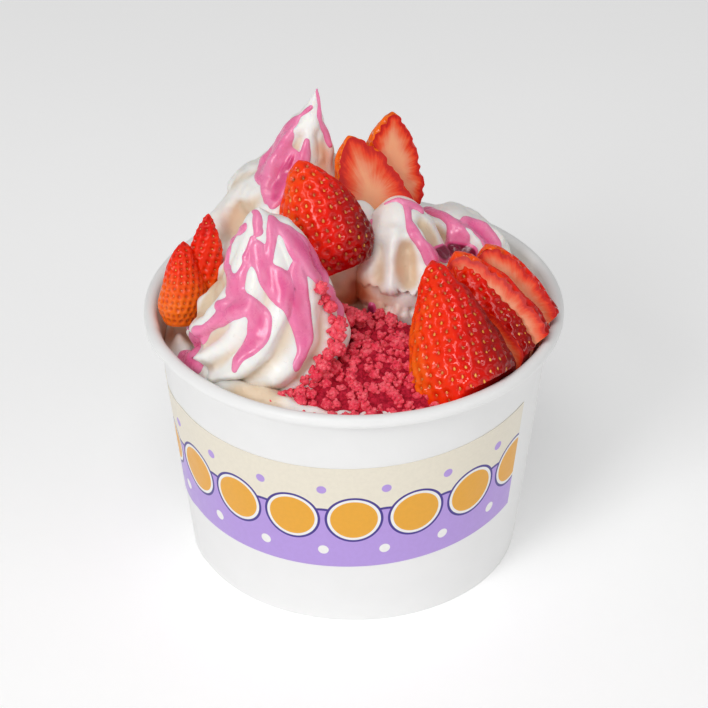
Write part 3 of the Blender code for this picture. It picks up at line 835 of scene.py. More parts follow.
# Spots of painted tan shade on the yogurt: centre, reach, strength.
TAN_SHADE_SPOTS = (
    ((-27.0, -43.0, 70.5), (17.0, 8.5, 8.0), 1.0),
    ((-13.0, -41.0, 69.0), (8.0, 7.0, 5.0), 0.7),
    ((-44.0, -12.0, 67.0), (7.0, 9.0, 6.0), 0.6),
)


def bed_grid(rows, columns):
    """Top of the yogurt between the peaks and the wall, outermost ring first."""
    outer = rows // 6
    shares = np.concatenate([np.linspace(1.0, 0.9, outer), np.linspace(0.9, 0.02, rows - outer + 1)[1:]])
    angles = TAU * np.arange(columns) / columns
    edge = yogurt_edge(np.degrees(angles))
    radius = shares[:, None] * (wall_radius(edge) - WALL - YOGURT_GAP)[None, :]
    middle = YOGURT_MIDDLE + (edge - YOGURT_MIDDLE) * shares[:, None] ** 2
    wave = np.cos(TAU * radius / FOLD_SPACING + angles)
    fold = FOLD_HEIGHT * wave * ease((1.0 - shares) / 0.05)[:, None]
    grid = np.stack([radius * np.cos(angles), radius * np.sin(angles), middle + fold], -1)
    flat = grid.reshape(-1, 3)
    lift = 0.35 * wander(flat, 8.0, 41) + 0.12 * wander(flat, 3.0, 42)
    for amount, path in BED_FOLDS:
        line = bed_lines(grid, [path])[0]
        lift = lift + amount * along_path(flat, *line)
    grid[..., 2] += lift.reshape(rows, columns)
    limit = wall_radius(grid[..., 2]) - WALL - YOGURT_GAP
    pull = np.minimum(1, limit / np.maximum(np.hypot(grid[..., 0], grid[..., 1]), 1e-9))
    grid[..., :2] *= pull[..., None]
    return grid, 0.5 - 0.5 * wave


def bed_lines(grid, paths):
    """Paths given by x, y and half width as lines of points on the bed."""
    flat = grid.reshape(-1, 3)
    lines = []
    for path in paths:
        nearest = [np.argmin(np.hypot(flat[:, 0] - x, flat[:, 1] - y)) for x, y, _ in path]
        lines.append((flat[nearest], np.array([half for _, _, half in path])))
    return lines


def yogurt_bed():
    """The yogurt under the peaks, laid down in a flat spiral fold and pressed against the wall."""
    columns = 240
    grid, hollow = bed_grid(90, columns)
    rows = len(grid)
    angles = TAU * np.arange(columns) / columns
    low = wall_radius(YOGURT_FLOOR) - WALL - YOGURT_GAP
    ring = np.stack([np.cos(angles), np.sin(angles), np.zeros(columns)], -1)
    floor_ring = 0.9 * low * ring + (0, 0, YOGURT_FLOOR)
    side_ring = low * ring + (0, 0, YOGURT_FLOOR + 1.5)
    centre = [(0, 0, grid[-1, :, 2].mean()), (0, 0, YOGURT_FLOOR)]
    points = np.concatenate([floor_ring, side_ring, grid.reshape(-1, 3), centre])
    faces = grid_faces(rows + 2, columns).tolist()
    last = (rows + 1) * columns
    middle = len(points) - 2
    faces += [[last + k, last + (k + 1) % columns, middle] for k in range(columns)]
    faces += [[(k + 1) % columns, k, middle + 1] for k in range(columns)]
    # Painted shade in the hollows of the fold and at the tan shade spots.
    shade_amount = np.concatenate([np.zeros(2 * columns), 0.6 * hollow.ravel(), [0, 0]])
    shade_amount = np.maximum(shade_amount, tan_shade_at(points))
    obj = add_mesh("yogurt_bed", points, faces, YOGURT, fields={"warm_shade": warm_shade_at(points), "hollow": shade_amount})
    return place(obj, "yogurt", "yogurt_base")


RIBBON_RADIUS = 19.6
BED_FOLDS = (
    (2.6, tuple(
        (FRONT_PEAK["centre"][0] + RIBBON_RADIUS * math.cos(math.radians(a)),
         FRONT_PEAK["centre"][1] + RIBBON_RADIUS * math.sin(math.radians(a)), 2.8)
        for a in range(-170, 0, 20)
    )),
    (3.0, ((-12.0, -36.0, 2.2), (-10.0, -31.0, 2.6), (-8.0, -25.0, 2.4))),
    (3.8, ((-47.0, -9.0, 3.0), (-45.5, -15.0, 4.0), (-43.0, -22.0, 4.0), (-39.0, -28.0, 3.5))),
    (2.2, ((-38.0, -32.0, 3.0), (-32.0, -38.0, 3.2), (-25.0, -43.0, 3.2), (-17.0, -45.0, 3.0))),
)


def along_path(points, line, half, reach=2.5):
    """1 on a smooth path through the points of a line, easing to 0 over its half width."""
    steps = np.linspace(0, len(line) - 1, 12 * (len(line) - 1) + 1)
    path = curve_through(np.arange(len(line)), line, steps)
    wide = curve_through(np.arange(len(line)), half, steps)
    found = np.zeros(len(points))
    far = reach * wide.max()
    near = ((points > path.min(0) - far) & (points < path.max(0) + far)).all(1)
    gap = np.linalg.norm(points[near, None, :] - path[None], axis=2)
    found[near] = np.exp(-((gap / wide) ** 2)).max(1)
    return found


def dollop_grid(spec, rows, columns):
    """A piped peak as a grid of points: rounded ridges that wind up round a leaning peak."""
    levels = np.array(spec["levels"], float)
    run = np.concatenate([[0], np.cumsum(np.hypot(np.diff(levels[:, 0]), np.diff(levels[:, 1])))])
    track = curve_through(run, levels, np.linspace(0, run[-1], rows))
    height, radius, drift_x, drift_y = track.T
    angle = TAU * np.arange(columns) / columns
    share = (height - height[0]) / (height[-1] - height[0])
    turn = np.radians(spec["start"] + spec["turn"] * (1 - (1 - share) ** spec.get("twist", 1.0)))
    azimuth = angle[None, :] + turn[:, None]
    swell = 0.12 * np.sin(3 * angle + spec["seed"]) + 0.08 * np.sin(5 * angle + 2.1 * spec["seed"])
    skewed = angle + 0.25 * swell + LOBE_SKEW / spec["lobes"] * np.sin(spec["lobes"] * angle)
    wave = np.sqrt((np.cos(0.5 * spec["lobes"] * skewed) ** 2 + CREASE) / (1 + CREASE))
    fade = ease((1 - share) / spec["fade"])[:, None]
    reach = radius[:, None] * (1 + spec["depth"] * (1 + swell) * fade * (wave - WAVE_MIDDLE))
    for at, level, wide, drop, amount in spec.get("lips", ()):
        off = ((azimuth - math.radians(at) + math.pi) % TAU - math.pi) / math.radians(wide)
        ragged = level + 0.5 * np.sin(11 * azimuth + 1) + 0.35 * np.sin(29 * azimuth) - height[:, None]
        under = ease(ragged / 0.8) * (1 - ease((ragged - drop) / 3.0))
        reach = reach - amount * np.exp(-off**4) * under
    grid = np.stack([
        spec["centre"][0] + drift_x[:, None] + reach * np.cos(azimuth),
        spec["centre"][1] + drift_y[:, None] + reach * np.sin(azimuth),
        np.repeat(height[:, None], columns, 1),
    ], -1)
    flat = grid.reshape(-1, 3)
    # How deep in a crease each point lies: it sets the painted shade there, and where sauce fills in.
    hollow = (fade * (1 - wave)[None, :]).ravel()
    soft = (ease((share[-1] - share) / 0.12)[:, None] * np.ones(columns)).ravel()
    push = 0.45 * wander(flat, 12.0, spec["seed"]) + 0.16 * wander(flat, 4.0, spec["seed"] + 50)
    for amount, path in spec.get("folds", ()):
        line = np.array([on_surface(grid, azimuth, height, at, level) for at, level, _ in path])
        near = along_path(flat, line, np.array([half for _, _, half in path]))
        push = push + amount * near
        # Dents take more painted shade, bulges less.
        hollow = hollow - HOLLOW_SHADE * min(amount, 0) * near - 0.4 * max(amount, 0) * near
    grid = grid + grid_normals(grid) * (push * soft).reshape(rows, columns, 1)
    return grid, azimuth, height, np.clip(hollow, 0, 1).reshape(rows, columns)


LOBE_SKEW = 0.3
CREASE = 0.07
# Extra painted shade in dented folds.
HOLLOW_SHADE = 0.35


def dollop(name, spec, rows, columns, *nodes):
    grid, _, _, hollow = dollop_grid(spec, rows, columns)
    points = grid.reshape(-1, 3)
    faces = grid_faces(rows, columns).tolist()
    faces.append(list(range(columns))[::-1])
    # Painted shade in the creases and at the tan shade spots.
    shade_amount = np.maximum(hollow.ravel(), tan_shade_at(points))
    obj = add_mesh(name, points, faces, YOGURT, fields={"warm_shade": warm_shade_at(points), "hollow": shade_amount})
    return place(obj, "yogurt", *nodes)


# ---------------------------------------------------------------- sauce
def on_surface(grid, azimuth, height, at, level):
    """The point of a dollop's surface at a compass angle in degrees and a height."""
    rows, columns = azimuth.shape
    row = float(np.interp(level, height, np.arange(rows)))
    low = min(int(row), rows - 2)
    part = row - low
    found = []
    for r in (low, low + 1):
        column = ((math.radians(at) - azimuth[r, 0]) % TAU) / TAU * columns
        left = int(column) % columns
        share = column - int(column)
        found.append(grid[r, left] * (1 - share) + grid[r, (left + 1) % columns] * share)
    return found[0] * (1 - part) + found[1] * part


def depth_inside(points, streams, join=0.6):
    """How far inside the nearest stream each point is, in millimetres; streams that meet flow together."""
    total = np.zeros(len(points))
    for path, widths in streams:
        steps = np.linspace(0, len(path) - 1, 14 * (len(path) - 1) + 1)
        line = curve_through(np.arange(len(path)), path, steps)
        half = curve_through(np.arange(len(path)), widths, steps)
        reach = half.max() + 2.0
        near = ((points > line.min(0) - reach) & (points < line.max(0) + reach)).all(1)
        gap = np.linalg.norm(points[near, None, :] - line[None, :, :], axis=2)
        total[near] += np.exp(np.clip((half[None, :] - gap).max(1), -6, 12) / join)
    return join * np.log(np.maximum(total, 1e-9))


def sauce_height(inside, thickness):
    """Cross-section of a stream: rounded edges, and just under the surface outside them."""
    rounded = thickness * (1 - (1 - np.clip(inside / SAUCE_EDGE, 0, 1)) ** 2.2)
    return np.where(inside > 0, rounded, np.maximum(2.2 * thickness / SAUCE_EDGE * inside, -0.4))


def stream_lines(grid, azimuth, height, streams):
    """Streams given by angle, height and half width as lines of points on a dollop."""
    return [
        (np.array([on_surface(grid, azimuth, height, at, level) for at, level, _ in stream]),
         np.array([half for _, _, half in stream]))
        for stream in streams
    ]


def sauce_shell(grid, hollow, lines, dark_lines, seed, body=1.0):
    """Points, faces and thickness of the sauce that lies on a surface along its streams; past 1 along the
    dark lines, for thicker sauce with painted shade.
    """
    rows, columns, _ = grid.shape
    points = grid.reshape(-1, 3)
    normal = grid_normals(grid).reshape(-1, 3)
    every = lines + [line for _, line in dark_lines]
    inside = depth_inside(points, every) + 0.16 * wander(points, 5.0, seed)
    rise = sauce_height(inside, SAUCE_THICKNESS * (1 + 0.2 * wander(points, 7.0, seed + 1)))
    rise = rise + SAUCE_FILL * hollow.ravel() ** 2 * ease(inside / 2.5)
    shown = body * np.clip(inside / 4.0, 0, 1)
    # Along the dark lines the thickness goes past 1: thicker sauce with painted shade.
    for strength, line in dark_lines:
        covered = ease((depth_inside(points, [line]) + 0.5) / 1.6)
        shown = shown * (1 - covered) + (1 + strength) * covered
    faces = grid_faces(rows, columns)
    faces = faces[(inside[faces] > -0.5).any(1)]
    return closed_skin(points + normal * rise[:, None], points - normal * 0.45, faces, shown)


def closed_skin(top, under, faces, shown):
    """Joins an upper and a lower surface that share their faces into one closed skin."""
    used, index = np.unique(faces, return_inverse=True)
    faces = index.reshape(-1, 4)
    count = len(used)
    points = np.concatenate([top[used], under[used]])
    edges = np.concatenate([faces[:, [0, 1]], faces[:, [1, 2]], faces[:, [2, 3]], faces[:, [3, 0]]])
    seen = {(a, b) for a, b in edges.tolist()}
    border = [(a, b) for a, b in edges.tolist() if (b, a) not in seen]
    walls = [[b, a, a + count, b + count] for a, b in border]
    made = faces.tolist() + (faces[:, ::-1] + count).tolist() + walls
    return points, made, np.concatenate([shown[used], shown[used]])


FRONT_STREAMS = (
    ((-153, 109.2, 1.2), (156, 103.1, 1.9), (-174, 101.9, 1.6), (-167, 98.8, 1.8),
     (-139, 97.4, 2.5), (-128, 94.4, 1.4), (-113, 94.0, 1.4)),
    ((-99, 112.3, 0.8), (-96, 110.7, 1.2), (-93, 109.4, 1.2)),
    ((-112, 107.7, 0.6), (-119, 105.3, 0.7), (-122, 103.6, 1.0)),
    ((-178, 112.9, 0.6), (-118, 113.0, 0.9), (-97, 111.9, 0.8)),
    ((-98, 106.1, 1.7), (-96, 104.2, 2.1), (-86, 101.2, 2.6), (-69, 97.8, 4.4), (-58, 93.9, 4.1),
     (-54, 89.4, 3.2), (-55, 85.5, 2.5), (-59, 82.1, 1.8), (-63, 79.0, 1.9)),
    ((-40, 99.8, 1.9), (-47, 96.3, 2.9), (-50, 92.7, 2.7)),
    ((-120, 102.0, 1.1), (-126, 99.7, 1.5), (-127, 96.6, 2.0), (-115, 94.6, 1.7), (-101, 93.5, 1.7)),
    ((-109, 94.0, 2.1), (-120, 92.0, 2.8), (-135, 88.5, 2.1), (-147, 85.0, 1.7), (-155, 82.3, 2.8)),
    ((-172, 78.2, 2.2), (180, 73.7, 1.9), (-169, 73.8, 2.3)),
    ((-118, 93.6, 1.4), (-134, 92.7, 1.2), (-143, 91.7, 1.1)),
    ((-101, 93.1, 2.5), (-94, 90.0, 3.3), (-95, 87.0, 3.0), (-101, 84.0, 2.5), (-106, 81.4, 2.0),
     (-109, 79.1, 1.2)),
    ((-15, 111.0, 1.3), (-46, 109.1, 1.2), (-63, 107.0, 1.2), (-76, 104.1, 1.4)),
    ((-23, 109.5, 1.3), (-20, 106.5, 2.5), (-20, 102.5, 4.3), (-10, 97.0, 4.8), (-10, 92.3, 2.1),
     (8, 84.3, 3.0), (-1, 82.1, 1.9)),
)
BACK_STREAMS = (
    ((-111, 125.2, 0.5), (-153, 122.8, 0.6), (-159, 120.3, 2.2), (-159, 116.4, 3.9),
     (-170, 111.2, 5.5), (-149, 108.2, 4.5), (-134, 105.3, 1.9), (-121, 103.0, 1.5)),
    ((-111, 113.1, 1.8), (-116, 108.7, 2.8), (-115, 105.1, 2.6), (-113, 102.6, 1.1)),
    ((-69, 129.2, 0.4), (-24, 125.6, 0.7), (-32, 122.0, 1.1), (-7, 117.1, 1.3), (-7, 113.5, 0.9)),
    ((-83, 117.2, 0.8), (-81, 114.8, 1.4), (-81, 112.2, 1.9)),
)
RIGHT_STREAMS = (
    ((-173, 100.3, 0.6), (-127, 101.4, 0.9), (-27, 100.8, 1.5), (4, 98.8, 1.5)),
    ((-53, 100.4, 1.0), (-66, 98.4, 1.2), (-65, 96.2, 1.5), (-56, 93.6, 1.8), (-44, 90.4, 3.3)),
    ((180, 95.6, 1.3), (-154, 94.2, 1.2)),
)
CURL_STREAMS = (
    ((150, 90.3, 1.7), (177, 91.5, 1.6), (-105, 91.7, 1.6), (-80, 90.9, 1.5), (-86, 88.3, 1.6)),
    ((-65, 91.0, 1.4), (-67, 88.3, 1.9)),
    ((-29, 89.9, 3.1), (-31, 87.2, 3.9), (-33, 84.2, 3.9)),
)


def sauce():
    """Every stream and pool of sauce, one piece."""
    shells = []
    for spec, streams, dark, size in (
        (FRONT_PEAK, FRONT_STREAMS, (), (280, 620)), (BACK_PEAK, BACK_STREAMS, BACK_DARK, (280, 620)),
        (RIGHT_PEAK, RIGHT_STREAMS, RIGHT_DARK, (220, 460)), (SIDE_CURL, CURL_STREAMS, CURL_DARK, (200, 460)),
    ):
        grid, azimuth, height, hollow = dollop_grid(spec, *size)
        lines = stream_lines(grid, azimuth, height, streams)
        dark_lines = [(much, stream_lines(grid, azimuth, height, [path])[0]) for much, path in dark]
        shells.append(sauce_shell(grid, hollow, lines, dark_lines, spec["seed"] + 90, spec.get("sauce", 1.0)))
    bed, hollow = bed_grid(220, 420)
    shells.append(sauce_shell(bed, hollow, bed_lines(bed, BED_POOLS), [], 99))
    starts = np.cumsum([0] + [len(shell[0]) for shell in shells])
    faces = [[k + start for k in face] for shell, start in zip(shells, starts) for face in shell[1]]
    obj = add_mesh(
        "sauce_streams", np.concatenate([shell[0] for shell in shells]), faces, SAUCE,
        fields={"thickness": np.concatenate([shell[2] for shell in shells])},
    )
    return place(obj, "yogurt")


# Lines of deep magenta sauce, thicker sauce with painted shade on it: how much, then (angle, height, half
# width) points.
BACK_DARK = (
    (0.25, ((-112, 112.1, 1.6), (-115, 109.1, 2.1), (-115, 105.9, 1.9), (-113, 103.7, 1.2))),
)
RIGHT_DARK = (
    (0.65, ((-132, 77.3, 1.2), (-132, 74.5, 1.9), (-131, 71.8, 2.3))),
    (0.90, ((-15, 88.6, 2.8), (-1, 88.3, 2.2))),
)
CURL_DARK = (
    (0.95, ((-87, 86.7, 2.0), (-77, 85.8, 3.0), (-66, 85.0, 2.5))),
)
BED_POOLS = (
    ((-46.5, -18.7, 1.8), (-45.0, -21.5, 3.0), (-43.3, -24.9, 3.4), (-41.3, -28.2, 2.2)),
)
SAUCE_THICKNESS = 0.5
SAUCE_EDGE = 1.2
SAUCE_FILL = 0.9


# ---------------------------------------------------------------- strawberries
def berry_width(spec, share):
    """Half width of a whole berry, 1 at the widest, at a share of its length from stalk end to tip."""
    shoulder = STALK_END + (1 - STALK_END) * np.sin(0.5 * math.pi * np.minimum(share / SHOULDER, 1))
    return shoulder * np.maximum(1 - share ** spec.get("taper", TAPER), 0) ** TIP_BLUNTNESS / WIDEST


def berry_frame(spec):
    stalk = np.array(spec["stalk"])
    tip = np.array(spec["tip"])
    length = np.linalg.norm(tip - stalk)
    along = (tip - stalk) / length
    face = np.array(spec["look"])
    face = face - face @ along * along
    face /= np.linalg.norm(face)
    return stalk, along, face, np.cross(along, face), length


def berry_surface(spec, share, theta):
    """Point of the whole berry at a share of its length and an angle round it."""
    stalk, along, face, side, length = berry_frame(spec)
    half = berry_width(spec, share)
    across = 0.5 * spec["width"] * half * np.cos(theta)
    out = spec["half_depth"] * half * np.sin(theta)
    point = stalk + along * (share * length)[..., None] + side * across[..., None] + face * out[..., None]
    outwards = side * across[..., None] + face * out[..., None]
    outwards = outwards / np.maximum(np.linalg.norm(outwards, axis=-1, keepdims=True), 1e-9)
    uneven = 0.3 * wander(point, 9.0, spec["seed"]) * ease((1 - share) / 0.1)
    return point + outwards * uneven[..., None]


def pit_scale(spec):
    """Pits and seeds of a small berry sit closer and are smaller."""
    return min(1.0, spec["width"] / FULL_PIT_BERRY)


def seed_places(spec):
    """Where seeds sit: staggered rings at even spacing, (share, angle) for each."""
    rng = np.random.default_rng(spec["seed"])
    length = berry_frame(spec)[4]
    fine = np.linspace(0.03, 0.985, 400)
    rim = 0.5 * spec["width"] * berry_width(spec, fine)
    walked = np.concatenate([[0], np.cumsum(np.hypot(np.diff(fine) * length, np.diff(rim)))])
    rings = np.interp(np.arange(1.0, walked[-1], SEED_ROW_SPACING * pit_scale(spec)), walked, fine)
    found = []
    for number, share in enumerate(rings):
        radius = berry_width(spec, share) * 0.5 * (0.5 * spec["width"] + spec["half_depth"])
        count = max(3, round(TAU * radius / (SEED_SPACING * pit_scale(spec))))
        turn = (0.5 * (number % 2) + 0.11 * number) * TAU / count
        for k in range(count):
            found.append((
                np.clip(share + rng.normal(0, 0.006), 0.02, 0.985),
                turn + TAU * (k + rng.normal(0, 0.07)) / count,
            ))
    return np.array(found)


def kept_inside(points):
    """Moves what would cross the cup's wall in to just inside it."""
    height = np.minimum(points[..., 2], CUP_HEIGHT - CURL_RADIUS)
    room = wall_radius(height) - WALL - BERRY_WALL_GAP
    over = np.maximum(points[..., 2] - CUP_HEIGHT, 0)
    pull = np.minimum(1, (room + over) / np.maximum(np.hypot(points[..., 0], points[..., 1]), 1e-9))
    return points * np.stack([pull, pull, np.ones_like(pull)], -1)


def berry(name, spec):
    """A strawberry cut lengthwise between two planes; pitted skin outside, flat flesh where it was cut."""
    stalk, along, face, side, length = berry_frame(spec)
    low, high = spec["slab"]
    share = np.sin(0.5 * math.pi * np.linspace(0, 1, SKIN_ROWS))
    half = spec["half_depth"] * berry_width(spec, share)
    safe = np.maximum(half, 1e-6)
    from_low = np.arcsin(np.clip(low / safe, -1, 1))
    to_high = np.arcsin(np.clip(high / safe, -1, 1))
    part = np.linspace(0, 1, SKIN_COLUMNS)
    right = from_low[:, None] + (to_high - from_low)[:, None] * part
    theta = np.stack([right, math.pi - right[:, ::-1]])
    share_grid = np.broadcast_to(share[:, None], theta.shape[1:])
    skin = np.stack([berry_surface(spec, share_grid, theta[k]) for k in (0, 1)])
    middle = stalk + along * (0.45 * length)
    normal = np.stack([grid_normals(skin[k], closed=False) for k in (0, 1)])
    normal *= np.sign((normal * (skin - middle)).sum(-1, keepdims=True))
    seeds = seed_places(spec)
    centres = berry_surface(spec, seeds[:, 0], seeds[:, 1])
    flat = skin.reshape(-1, 3)
    pit = np.zeros(len(flat))
    ridge = np.zeros(len(flat))
    small_berry = pit_scale(spec)
    for centre in centres:
        near = (np.abs(flat - centre) < 3 * PIT_WIDTH).all(1)
        gap = np.linalg.norm(flat[near] - centre, axis=1) / small_berry
        pit[near] = np.maximum(pit[near], np.exp(-((gap / PIT_WIDTH) ** 2)))
        ridge[near] = np.maximum(ridge[near], np.exp(-(((gap - 1.5) / 0.7) ** 2)))
    small = ease((1 - share) / 0.08)
    lift = small_berry * (PIT_RIM * ridge - PIT_DEPTH * pit).reshape(theta.shape) * small[None, :, None]
    skin = skin + normal * lift[..., None]
    for arc_number, edge, plane in ((0, 0, low), (0, -1, high), (1, 0, high), (1, -1, low)):
        rim = skin[arc_number, :, edge]
        out = (rim - stalk) @ face
        cut = np.abs(plane) < half
        skin[arc_number, :, edge] = np.where(cut[:, None], rim + face * (plane - out)[:, None], rim)
    for plane, one, other in ((high, (0, -1), (1, 0)), (low, (0, 0), (1, -1))):
        joint = 0.5 * (skin[one[0], :, one[1]] + skin[other[0], :, other[1]])
        closed = (np.abs(plane) >= half)[:, None]
        for arc_number, edge in (one, other):
            skin[arc_number, :, edge] = np.where(closed, joint, skin[arc_number, :, edge])

    patches = []
    # Painted light and shade on the skin: paler towards the lit side, deeper red away from it, shifted by
    # each berry's ripeness.
    lit = np.array(spec.get("lit_side", LIT_SIDE))
    lit = lit / np.linalg.norm(lit)
    for k in (0, 1):
        towards = ((skin[k] - middle) / (0.5 * length)) @ lit
        ripe_and_shade = 0.5 + spec.get("ripeness", 0.0) - spec.get("side_shade", SIDE_SHADE) * towards
        patches.append((skin[k], 0, pit.reshape(theta.shape)[k].ravel(), ripe_and_shade.ravel(), np.zeros(ripe_and_shade.size)))
    cuts = ((high, skin[0, :, -1], skin[1, :, 0]), (low, skin[0, :, 0], skin[1, :, -1]))
    for plane, right_edge, left_edge in cuts:
        if abs(plane) >= spec["half_depth"]:
            continue
        across = (0.5 - 0.5 * np.cos(math.pi * np.linspace(0, 1, FLESH_COLUMNS)))[None, :, None]
        patch = right_edge[:, None] * (1 - across) + left_edge[:, None] * across
        if plane == low:
            patch = patch[:, ::-1]
        inner = patch.reshape(-1, 3)
        rim = np.concatenate([right_edge, left_edge])
        depth = np.linalg.norm(inner[:, None] - rim[None], axis=2).min(1)
        depth = depth * spec.get("core", 1.0)
        patches.append((patch, 1, np.zeros(len(depth)), np.zeros(len(depth)), depth))
    points = kept_inside(np.concatenate([patch[0].reshape(-1, 3) for patch in patches]))
    starts = np.cumsum([0] + [patch[0].shape[0] * patch[0].shape[1] for patch in patches])
    faces = [grid_faces(*patch[0].shape[:2], closed=False) + start for patch, start in zip(patches, starts)]
    local = points - stalk
    core = local - np.outer(local @ along, along)
    spread = np.stack([
        10 * np.arctan2(local @ along - 0.42 * length, local @ side), np.linalg.norm(core, axis=1)
    ], -1)
    obj = add_mesh(
        name, points, np.concatenate(faces), (SKIN, FLESH), uv=spread,
        which=np.concatenate([np.full(len(f), patch[1]) for f, patch in zip(faces, patches)]),
        fields={
            "pit": np.concatenate([patch[2] for patch in patches]),
            "ripe_and_shade": np.concatenate([patch[3] for patch in patches]),
            "inwards": np.concatenate([patch[4] for patch in patches]),
        },
    )
    close_openings(obj)
    place(obj, "strawberry", name)
    out = (centres - stalk) @ face
    shifted = np.linalg.norm(kept_inside(centres) - centres, axis=1)
    keep = (out > low + 0.5) & (out < high - 0.5) & (seeds[:, 0] < 0.975) & (shifted < 0.1)
    return spec, seeds[keep]


def close_openings(obj):
    """Closes a cut stalk end with one flesh face and turns every face outwards."""
    bm = bmesh.new()
    bm.from_mesh(obj.data)
    bmesh.ops.remove_doubles(bm, verts=bm.verts, dist=0.02 * MM)
    open_edges = [edge for edge in bm.edges if edge.is_boundary]
    if open_edges:
        made = bmesh.ops.holes_fill(bm, edges=open_edges, sides=0)["faces"]
        for hole in made:
            hole.material_index = 1
    bmesh.ops.recalc_face_normals(bm, faces=bm.faces)
    bm.to_mesh(obj.data)
    bm.free()
    obj.data.shade_smooth()
    obj.data.set_sharp_from_angle(angle=math.radians(42))


# ---------------------------------------------------------------- geometry nodes
class Tree:
    """A Geometry Nodes tree with named inputs and short calls for its nodes."""

    def __init__(self, name, inputs):
        self.group = bpy.data.node_groups.new(name, "GeometryNodeTree")
        face = self.group.interface
        face.new_socket("Geometry", in_out="OUTPUT", socket_type="NodeSocketGeometry")
        face.new_socket("Geometry", in_out="INPUT", socket_type="NodeSocketGeometry")
        self.inputs = {}
        for label, kind in inputs.items():
            self.inputs[label] = face.new_socket(label, in_out="INPUT", socket_type=kind).identifier
        self.entry = self.group.nodes.new("NodeGroupInput")
        self.end = self.group.nodes.new("NodeGroupOutput")

    def add(self, kind, inputs=None, **settings):
        node = self.group.nodes.new(kind)
        for key, value in settings.items():
            setattr(node, key, value)
        for key, value in (inputs or {}).items():
            if isinstance(value, bpy.types.NodeSocket):
                self.group.links.new(value, node.inputs[key])
            else:
                node.inputs[key].default_value = value
        return node

    def given(self, label):
        return self.entry.outputs[label]

    def named(self, label, kind="FLOAT"):
        node = self.add("GeometryNodeInputNamedAttribute", {"Name": label}, data_type=kind)
        return next(out for out in node.outputs if out.enabled and out.name == "Attribute")

    def finish(self, geometry):
        self.group.links.new(geometry, self.end.inputs[0])

    def apply(self, obj, values):
        """Runs the tree on an object once and leaves the result as its plain mesh."""
        modifier = obj.modifiers.new("made of", "NODES")
        modifier.node_group = self.group
        for label, value in values.items():
            modifier[self.inputs[label]] = value
        graph = bpy.context.evaluated_depsgraph_get()
        made = bpy.data.meshes.new_from_object(obj.evaluated_get(graph))
        obj.modifiers.clear()
        obj.data = made
        return obj


def berry_seeds(found):
    """Every seed that shows, lying in its pit with its point towards the berry's tip: one piece."""
    places = []
    turns = []
    rng = np.random.default_rng(5)
    for spec, seeds in found:
        share, theta = seeds.T
        step = 0.01
        point = berry_surface(spec, share, theta)
        down = berry_surface(spec, share - step, theta)
        up = berry_surface(spec, np.minimum(share + step, 0.999), theta)
        left = berry_surface(spec, share, theta - step)
        right = berry_surface(spec, share, theta + step)
        middle = berry_frame(spec)[0] + berry_frame(spec)[1] * 0.45 * berry_frame(spec)[4]
        for k in range(len(share)):
            way = Vector(up[k] - down[k]).normalized()
            out = Vector(right[k] - left[k]).cross(way).normalized()
            if out.dot(Vector(point[k] - middle)) < 0:
                out = -out
            way.rotate(Matrix.Rotation(rng.normal(0, 0.16), 3, out))
            turn = Matrix((way, out.cross(way), out)).transposed().to_euler()
            places.append(Vector(point[k]) - out * SEED_SINK)
            turns.append(tuple(turn))
    mesh = bpy.data.meshes.new("berry_seeds")
    mesh.from_pydata([tuple(p * MM) for p in places], [], [])
    mesh.attributes.new("turn", "FLOAT_VECTOR", "POINT").data.foreach_set("vector", np.ravel(turns))
    obj = bpy.data.objects.new("berry_seeds", mesh)
    bpy.context.scene.collection.objects.link(obj)

    tree = Tree("seeds in their pits", {
        "Length": "NodeSocketFloat", "Width": "NodeSocketFloat", "Thickness": "NodeSocketFloat",
        "Seed": "NodeSocketInt", "Material": "NodeSocketMaterial",
    })
    ball = tree.add("GeometryNodeMeshUVSphere", {"Segments": 8, "Rings": 5, "Radius": 0.5})
    split = tree.add("ShaderNodeSeparateXYZ", {0: tree.add("GeometryNodeInputPosition").outputs[0]})
    slim = tree.add("ShaderNodeMath", {0: split.outputs[2], 1: -0.9, 2: 1.0}, operation="MULTIPLY_ADD")

    def times(first, second):
        return tree.add("ShaderNodeMath", {0: first, 1: second}, operation="MULTIPLY").outputs[0]

    long = times(split.outputs[2], tree.given("Length"))
    wide = times(times(split.outputs[0], tree.given("Width")), slim.outputs[0])
    thick = times(split.outputs[1], tree.given("Thickness"))
    shape = tree.add("ShaderNodeCombineXYZ", {0: long, 1: wide, 2: thick}).outputs[0]
    drop = tree.add("GeometryNodeSetPosition", {"Geometry": ball.outputs["Mesh"], "Position": shape})
    turned_by = tree.add("FunctionNodeEulerToRotation", {0: tree.named("turn", "FLOAT_VECTOR")})
    size = tree.add(
        "FunctionNodeRandomValue", {2: 0.86, 3: 1.14, "Seed": tree.given("Seed")}, data_type="FLOAT"
    )
    laid = tree.add("GeometryNodeInstanceOnPoints", {
        "Points": tree.given("Geometry"), "Instance": drop.outputs[0],
        "Rotation": turned_by.outputs[0], "Scale": size.outputs[1],
    })
    real = tree.add("GeometryNodeRealizeInstances", {0: laid.outputs[0]})
    smooth = tree.add("GeometryNodeSetShadeSmooth", {0: real.outputs[0], 2: True})
    painted = tree.add("GeometryNodeSetMaterial", {0: smooth.outputs[0], 2: tree.given("Material")})
    tree.finish(painted.outputs[0])
    tree.apply(obj, {
        "Length": SEED_LENGTH * MM, "Width": SEED_WIDTH * MM, "Thickness": SEED_THICKNESS * MM,
        "Seed": 4, "Material": SEED,
    })
    return place(obj, "strawberry")


# ---------------------------------------------------------------- crumble
LUMP_SPACING = 2.7
LUMP_RADIUS = (1.0, 1.9)
GRAIN_SPACING = 1.15
GRAIN_RADIUS = (0.45, 0.8)
CORE_DROP = 2.8


